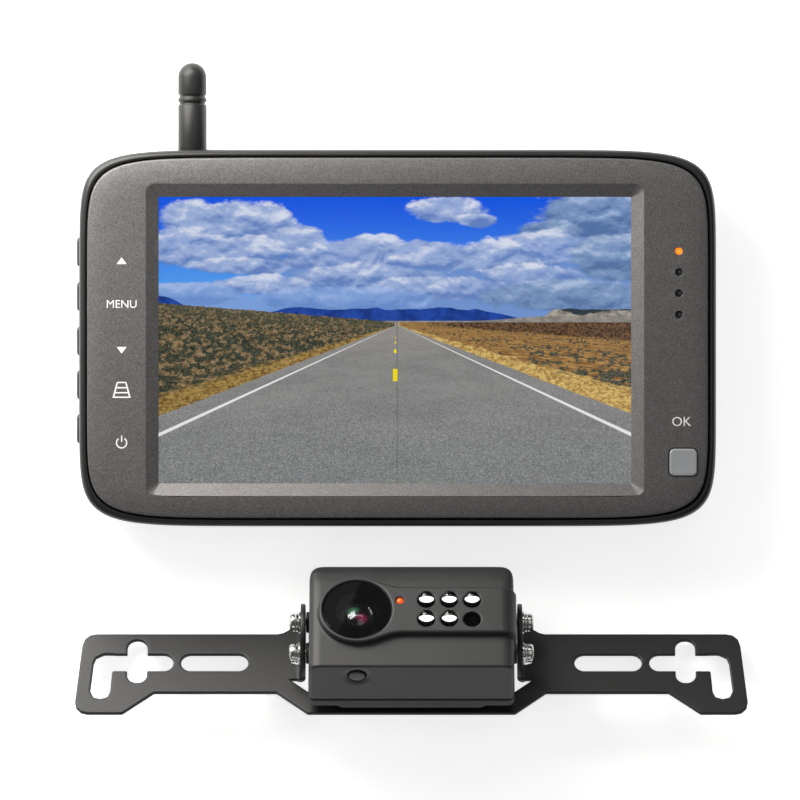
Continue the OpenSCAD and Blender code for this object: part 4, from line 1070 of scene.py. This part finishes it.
def camera_rear():
    h = 0.25
    lo, hi = (-34.0, -31.4, 2.4), (34.0, 7.6, 9.2)
    X, Y, Z = grid(lo, hi, h)
    x2, y2 = X[:, :, 0], Y[:, :, 0]
    top = sd_box2(x2, y2, 0, (BY1 + BY0) / 2 - 6, CAM_HW - 0.1, (BY1 - BY0) / 2 + 6 - 0.1, 5.5)
    bot = sd_box2(x2, y2, 0, (BY1 + BY0) / 2 + 6, CAM_HW - 0.1, (BY1 - BY0) / 2 + 6 - 0.1, 2.1)
    o = np.maximum(top, bot)[:, :, None]
    d = smax(o, np.abs(Z - 6.45) - 1.85, 0.8)
    hump = smax(sd_box2(x2, y2, 0, -11.8, 25, 18.2, 3)[:, :, None], np.abs(Z - 4.5) - 1.5, 0.8)
    d = smin(d, hump, 0.6)
    d = np.maximum(d, -np.maximum(o + 2.2, 6.6 - Z))
    d = np.maximum(d, -np.maximum(sd_box2(x2, y2, 0, -11.8, 23, 16.2, 1)[:, :, None], 5.0 - Z))
    r = np.sqrt(X ** 2 + (Y + 12) ** 2)
    d = np.maximum(d, 3.05 - r + 0 * d)
    for sx in (-1, 1):
        for y in (1.2, -25.2):
            r = np.sqrt((X - sx * 27.4) ** 2 + (Y - y) ** 2)
            d = smax(d, -np.maximum(r - 2.3, Z - 5.8), 0.3)
            d = np.maximum(d, 1.3 - r + 0 * d)
    P, Q, N = nets(d.astype(np.float32), lo, h)
    add("camera_shell_rear", P, Q, M["cover"], "camera", ["camera_rear_cover"], "housing_plastic", xf=UNIT, normals=N)


def on_lens(z=0.0):
    return UNIT @ Matrix.Translation((LENS[0], LENS[1], z))


def rr(pts):
    return pts


def optics():
    w = lathe([(0, 28.95), (LENS_R - 0.2, 28.95), (LENS_R - 0.06, 29.1), (LENS_R - 0.06, 29.62), (LENS_R - 0.3, 29.8), (0, 29.8)], 96)
    add("window_disc", *w, M["window"], "camera", ["lens_window"], "lens_glass", xf=on_lens(), smooth=35)
    mask = [(6.95, 28.98), (LENS_R - 0.12, 28.98), (LENS_R - 0.12, 29.06), (7.0, 29.06)]
    add("window_border", *lathe(mask, 96, wrap=True), M["lens_black"], "camera", xf=on_lens(), smooth=35)
    hood = [(6.35, 25.2), (7.6, 25.2), (7.6, 26.9), (9.1, 26.9), (9.1, 28.5), (8.95, 28.75), (8.2, 28.8), (7.9, 28.6), (7.5, 28.1), (7.3, 28.0), (7.0, 28.2), (6.75, 28.2), (6.5, 27.9), (6.35, 27.7)]
    add("hood_ring", *lathe(hood, 96, wrap=True), M["lens_black"], "camera", ["lens_hood_ring"], "lens_black", xf=on_lens(), smooth=35)
    barrel = [(3.6, 14.6), (6.0, 14.6), (6.0, 12.9), (8, 12.9), (8, 16.0), (7.8, 16.2), (6.25, 16.2), (6.25, 27.3), (6.05, 27.55), (5.75, 27.6), (5.5, 27.4), (5.35, 26.9), (5.1, 26.6), (5.05, 25.2), (4.2, 25.2), (4.2, 23.0), (3.6, 23.0)]
    add("lens_tube", *lathe(barrel, 96, wrap=True), M["lens_black"], "camera", ["lens_barrel"], "lens_black", xf=on_lens(), smooth=35)
    R = 6.2
    zc = 26.35 - R + 0.9
    el = [(0, 25.3), (4.95, 25.3), (4.95, 25.9)] + [(R * math.sin(math.radians(a)), zc + R * math.cos(math.radians(a))) for a in (52, 46, 40, 34, 28, 22, 16, 10, 5)] + [(0, zc + R)]
    # the front element's material paints its green and magenta reflections as emission
    add("front_element", *lathe(el, 72), M["lens_painted_glints"], "camera", ["lens_front_element"], "coated_glass", xf=on_lens(), smooth=35)
    el2 = [(0, 16.55), (3.5, 16.55), (3.5, 17.6), (3.0, 18.1), (1.8, 18.45), (0, 18.55)]
    add("rear_element", *lathe(el2, 48), M["coat_red"], "camera", ["lens_rear_element"], "coated_glass", xf=on_lens(), smooth=35)


def lamps_ir():
    domes, cups, posts, dies, wires = [], [], [], [], []
    for x, y in [(LED_X[0], LED_Y[0]), (LED_X[1], LED_Y[0]), (LED_X[2], LED_Y[0]), (LED_X[0], LED_Y[1]), (LED_X[1], LED_Y[1])]:
        T = Matrix.Translation((x, y, 23.25))
        p = [(0, 0), (2.9, 0), (2.9, 0.9), (2.5, 0.95), (2.5, 7.9)] + [(2.5 * math.cos(math.radians(a)), 7.95 + 2.5 * math.sin(math.radians(a))) for a in range(6, 90, 6)] + [(0, 10.45)]
        domes.append(xform(lathe(p, 64), T))
        # inside: a white cup, a dark sleeve, two posts, a die and its wire
        eye = [(1.85 * math.cos(a), (0.80 if math.sin(a) > 0 else 1.05) * math.sin(a) * abs(math.sin(a)) ** 0.35) for a in np.linspace(0, 2 * math.pi, 48, endpoint=False)]
        cups.append(xform(loft([at_z(np.array(eye) * k, z) for k, z in ((0.86, 7.45), (0.93, 7.5), (0.93, 7.58), (0.89, 7.62))]), T))
        dies.append(xform(lathe([(0, 0.85), (0.75, 0.85), (0.75, 6.95), (0, 6.95)], 32), T))
        sl = [(2.12, 0.5), (2.38, 0.5), (2.38, 6.9), (2.3, 7.0), (2.2, 6.9), (2.12, 6.2)]
        dies.append(xform(lathe(sl, 48, wrap=True), T))
        dies.append(xform(lathe([(0, 0.5), (2.05, 0.5), (2.05, 0.9), (0, 0.9)], 48), T))
        posts.append(xform(loft([at_z(rrect(0.7, 0.7, 0.1, (1, 1), 2, (0.3, 0)), z) for z in (0.4, 5.3)]), T))
        posts.append(xform(loft([at_z(rrect(0.6, 0.7, 0.1, (1, 1), 2, (-1.5, 0)), z) for z in (0.4, 5.0)]), T))
        wires.append(xform(loft([at_z(rrect(0.3, 0.3, 0.05, (1, 1), 2), z) for z in (7.56, 7.7)]), T))
    add("ir_lamp_bodies", *merge(domes), M["clear"], "camera", ["infrared_leds"], "clear_lamp", xf=UNIT, smooth=40)
    add("ir_lamp_cups", *merge(cups), M["mirror"], "camera", xf=UNIT, smooth=40)
    add("ir_lamp_posts", *merge(posts), M["tin"], "camera", xf=UNIT, smooth=30)
    add("ir_lamp_sleeves", *merge(dies), M["lens_black"], "camera", xf=UNIT, smooth=30)
    add("ir_lamp_dies", *merge(wires), M["brass"], "camera", xf=UNIT, smooth=30)
    s = [(0, 23.25), (2.55, 23.25), (2.55, 29.3), (2.4, 29.55), (1.9, 29.65), (1.7, 29.45), (0.9, 29.4), (0, 29.4)]
    add("light_sensor_disc", *lathe(s, 48), M["lens_black"], "camera", ["light_sensor"], "dark_lamp", xf=UNIT @ Matrix.Translation((LED_X[2], LED_Y[1], 0)), smooth=40)
    st = [(0, 23.25), (1.2, 23.25), (1.2, 29.2)] + [(1.2 * math.cos(math.radians(a)), 29.2 + 1.1 * math.sin(math.radians(a))) for a in (20, 40, 60, 78)] + [(0, 30.3)]
    add("status_lens", *lathe(st, 36), M["status"], "camera", ["status_lamp"], "amber_lamp", xf=UNIT @ Matrix.Translation((-3.7, LED_Y[0], 0)), smooth=40)


def button():
    p = [(0, 0.0), (1.6, -0.02), (2.2, 0.05), (2.5, 0.2), (2.6, 0.5), (2.6, 1.75), (3.7, 1.8), (3.7, 2.6), (0, 2.6)]
    add("pair_cap", *lathe([(r, z + 0.02) for r, z in p], 48), M["key"], "button_pair", ["pair_button"], "key_plastic",
        xf=UNIT @ Matrix.Translation((LENS[0], BY0 + 0.3, PAIR_Z)) @ Matrix.Rotation(-math.pi / 2, 4, "X"), smooth=40)


def hardware():
    heads, springs, flats = [], [], []
    for sx in (-1, 1):
        for y in (PIV_Y, PIV_Y - LOCK_R):
            T = Matrix.Translation((0, y, PIV_Z)) @ Matrix.Rotation(sx * math.pi / 2, 4, "Y")
            hp = [(0, 28.05), (1.3, 28.05), (1.5, 28.3), (1.5, 37.6), (2.75, 37.6), (2.98, 37.75), (3.0, 38.4), (2.9, 38.9), (2.6, 39.25), (2.1, 39.5), (1.4, 39.6), (0, 39.6)]
            heads.append(xform(lathe(hp, 48), T))
            fp = [(1.62, EAR_OUT + 0.1), (3.4, EAR_OUT + 0.1), (3.6, EAR_OUT + 0.2), (3.6, EAR_OUT + 0.62), (3.45, EAR_OUT + 0.7), (1.62, EAR_OUT + 0.7)]
            flats.append(xform(lathe(fp, 48, wrap=True), T))
            # split ring, its ends a little apart
            n = 44
            rings = []
            for i in range(n + 1):
                a = math.radians(8 + 344 * i / n)
                zo = 36.55 + 0.22 * (i / n)
                sec = [(1.65, zo + 0.08), (1.75, zo), (2.95, zo), (3.1, zo + 0.1), (3.1, zo + 0.66), (2.95, zo + 0.78), (1.75, zo + 0.78), (1.65, zo + 0.7)]
                rings.append(np.array([(r * math.cos(a), r * math.sin(a), z) for r, z in sec]))
            v, f = loft(rings)
            springs.append(xform((v, [q[::-1] for q in f]), T))
    o = add("side_screws", *merge(heads), M["steel"], "camera", ["tilt_screws"], "bright_steel", xf=UNIT, smooth=40)
    parts = []
    for sx in (-1, 1):
        for y in (PIV_Y, PIV_Y - LOCK_R):
            T = Matrix.Translation((0, y, PIV_Z)) @ Matrix.Rotation(sx * math.pi / 2, 4, "Y")
            for ang in (0, math.pi / 2):
                a = np.array([(-1.7, -0.36), (1.7, -0.36), (1.7, 0.36), (-1.7, 0.36)])
                b = a * np.array([0.55, 0.8])
                v, f = loft([at_z(b, 38.35), at_z(a, 41.0)])
                parts.append(xform((v, f), UNIT @ T @ Matrix.Rotation(ang, 4, "Z")))
    for i in (0, 1):
        pv, pf = merge(parts[i::2])
        cut = add("cutter", pv, pf, None, None)
        boolean(o, cut)
    reshade(o, 40)
    add("split_washers", *merge(springs), M["steel"], "camera", ["spring_washers"], "bright_steel", xf=UNIT, smooth=40)
    add("plain_washers", *merge(flats), M["steel"], "camera", ["flat_washers"], "bright_steel", xf=UNIT, smooth=40)


def gland():
    p = [(1.9, -8.0), (3.6, -8.0), (3.95, -7.7)]
    for i in range(5):
        z = -7.2 + i * 1.3
        p += [(4.0, z), (4.0, z + 0.65), (3.55, z + 0.8), (3.55, z + 1.15)]
    p += [(4.0, -0.6), (4.2, -0.25), (5.4, -0.2), (5.6, 0.0), (5.6, 2.7), (5.4, 2.95), (3.0, 2.95), (3.0, 7.9), (1.9, 7.9)]
    add("lead_grommet", *lathe(p, 56, wrap=True), M["rubber"], "camera", ["cable_gland"], "black_rubber", xf=UNIT @ Matrix.Translation((0, -12, 0)), smooth=35)


bezel()
case_rear()
for nm, y in zip(("up", "menu", "down", "guide", "power"), KEYS_Y):
    side_key("cap_" + nm, "side_key_" + nm, y, "key_" + nm)
ok_key()
lamps()
antenna()
labels()
screen()
bracket()
camera_front()
camera_rear()
optics()
lamps_ir()
button()
hardware()
gland()

# ------------------------------------------------------------------ materials of the CAD nodes that stay
KEEP = {
    "screen_gasket": "rubber", "backlight_tray": "tin", "main_board": "board", "radio_shield": "tin", "side_key_board": "board",
    "side_key_switches": "switch", "front_key_board": "board", "ok_switch": "switch", "speaker": "speaker", "power_jack": "switch",
    "case_screws": "black_steel", "board_screws": "steel", "mount_inserts": "brass", "antenna_pin": "steel", "antenna_element": "brass",
    "antenna_coax": "rubber", "housing_seal": "rubber", "image_sensor_board": "board", "infrared_board": "board", "transmitter_board": "board",
    "transmitter_shield": "tin", "pair_switch": "switch", "side_inserts": "brass", "cover_screws": "steel"}
for n, o in NODES.items():
    if o.hide_render:
        continue
    mat = M[KEEP[n]]
    o.data.materials.clear()
    o.data.materials.append(mat)
    for p in o.data.polygons:
        p.material_index = 0
    if n in ("case_screws", "mount_inserts", "cover_screws", "antenna_pin", "power_jack"):
        round_edges(o, 0.12)

# ------------------------------------------------------------------ floor, light and camera
def floor():
    me = bpy.data.meshes.new("floor")
    s = 3.0
    me.from_pydata([(-s, -s, 0), (s, -s, 0), (s, s, 0), (-s, s, 0)], [], [(0, 1, 2, 3)])
    o = bpy.data.objects.new("floor", me)
    bpy.context.scene.collection.objects.link(o)
    m = Mat("floor_paper", Specular_IOR_Level=0.2)
    n = m.noise(900.0, 3.0)
    m.set("Base_Color", m.mix(n, (0.80, 0.80, 0.80), (0.82, 0.82, 0.82)))
    m.set("Roughness", n * 0.1 + 0.55)
    m.set("Emission_Color", (1.0, 1.0, 1.0))
    m.b.inputs["Emission Strength"].default_value = FLOOR_GLOW
    geo = m.nt.nodes.new("ShaderNodeNewGeometry")
    tr = m.nt.nodes.new("ShaderNodeBsdfTransparent")
    mx = m.nt.nodes.new("ShaderNodeMixShader")
    m.nt.links.new(geo.outputs["Backfacing"], mx.inputs[0])
    m.nt.links.new(m.b.outputs[0], mx.inputs[1])
    m.nt.links.new(tr.outputs[0], mx.inputs[2])
    m.nt.links.new(mx.outputs[0], m.out.inputs[0])
    me.materials.append(m.m)


def area(name, loc, target, size, power, col=(1, 1, 1)):
    li = bpy.data.lights.new(name, "AREA")
    li.shape = "RECTANGLE"
    li.size, li.size_y = size
    li.energy, li.color = power, col
    o = bpy.data.objects.new(name, li)
    bpy.context.scene.collection.objects.link(o)
    o.location = loc
    o.rotation_euler = (Vector(target) - Vector(loc)).to_track_quat("-Z", "Y").to_euler()
    o.visible_camera = False
    return o


FLOOR_GLOW = 0.73
floor()
area("key", (-0.20, 0.22, 0.17), (-0.02, -0.02, 0), (0.28, 0.28), 2.6, (1.0, 0.965, 0.92))
area("top", (0.0, 0.52, 0.46), (0, -0.05, 0), (0.9, 0.12), 0.9)
area("left", (-0.62, 0.0, 0.30), (0, 0.0, 0), (0.6, 0.14), 0.6)
area("fill", (0.45, 0.10, 1.10), (0, -0.04, 0), (0.8, 0.8), 1.3)
area("front", (-0.1, -0.95, 0.65), (0, -0.08, 0), (0.9, 0.35), 0.9)
area("under", (0.0, 0.1, -0.9), (0, 0, 0), (0.8, 0.8), 11.0)
# a dim card whose slanting edge shows in the lens window
card = area("card", (0, 0, 1), (0, 0, 0), (0.3, 0.3), 0.045)
n_w = UNIT.to_3x3() @ Vector((0, 0, 1))
u_w = (2 * n_w.z * n_w - Vector((0, 0, 1))).normalized()
e_w = (Vector((0.409, 0, 0)) + 0.913 * u_w.cross(Vector((1, 0, 0))).normalized()).normalized()
x_w = e_w.cross(u_w).normalized()
at = (UNIT @ Vector((LENS[0], LENS[1], 29.8))) * MM + 0.5 * u_w - 0.15 * x_w
card.matrix_world = Matrix(((x_w.x, e_w.x, u_w.x, at.x), (x_w.y, e_w.y, u_w.y, at.y), (x_w.z, e_w.z, u_w.z, at.z), (0, 0, 0, 1)))
w = bpy.data.worlds.new("studio")
bpy.context.scene.world = w
w.use_nodes = True
bg = w.node_tree.nodes["Background"]
bg.inputs[0].default_value = (1, 1, 1, 1)
bg.inputs[1].default_value = 0.07
bpy.context.scene.view_settings.view_transform = "Standard"

CAM_Z = 2.5
cam = bpy.data.cameras.new("camera")
cam.sensor_width = 36.0
cam.lens = 36.0 * (CAM_Z - 0.026) / 0.25776
cam.clip_start, cam.clip_end = 0.05, 20.0
co = bpy.data.objects.new("camera", cam)
bpy.context.scene.collection.objects.link(co)
co.location = (0.0008, -0.0200, CAM_Z)
co.rotation_euler = (0, 0, 0)
bpy.context.scene.camera = co
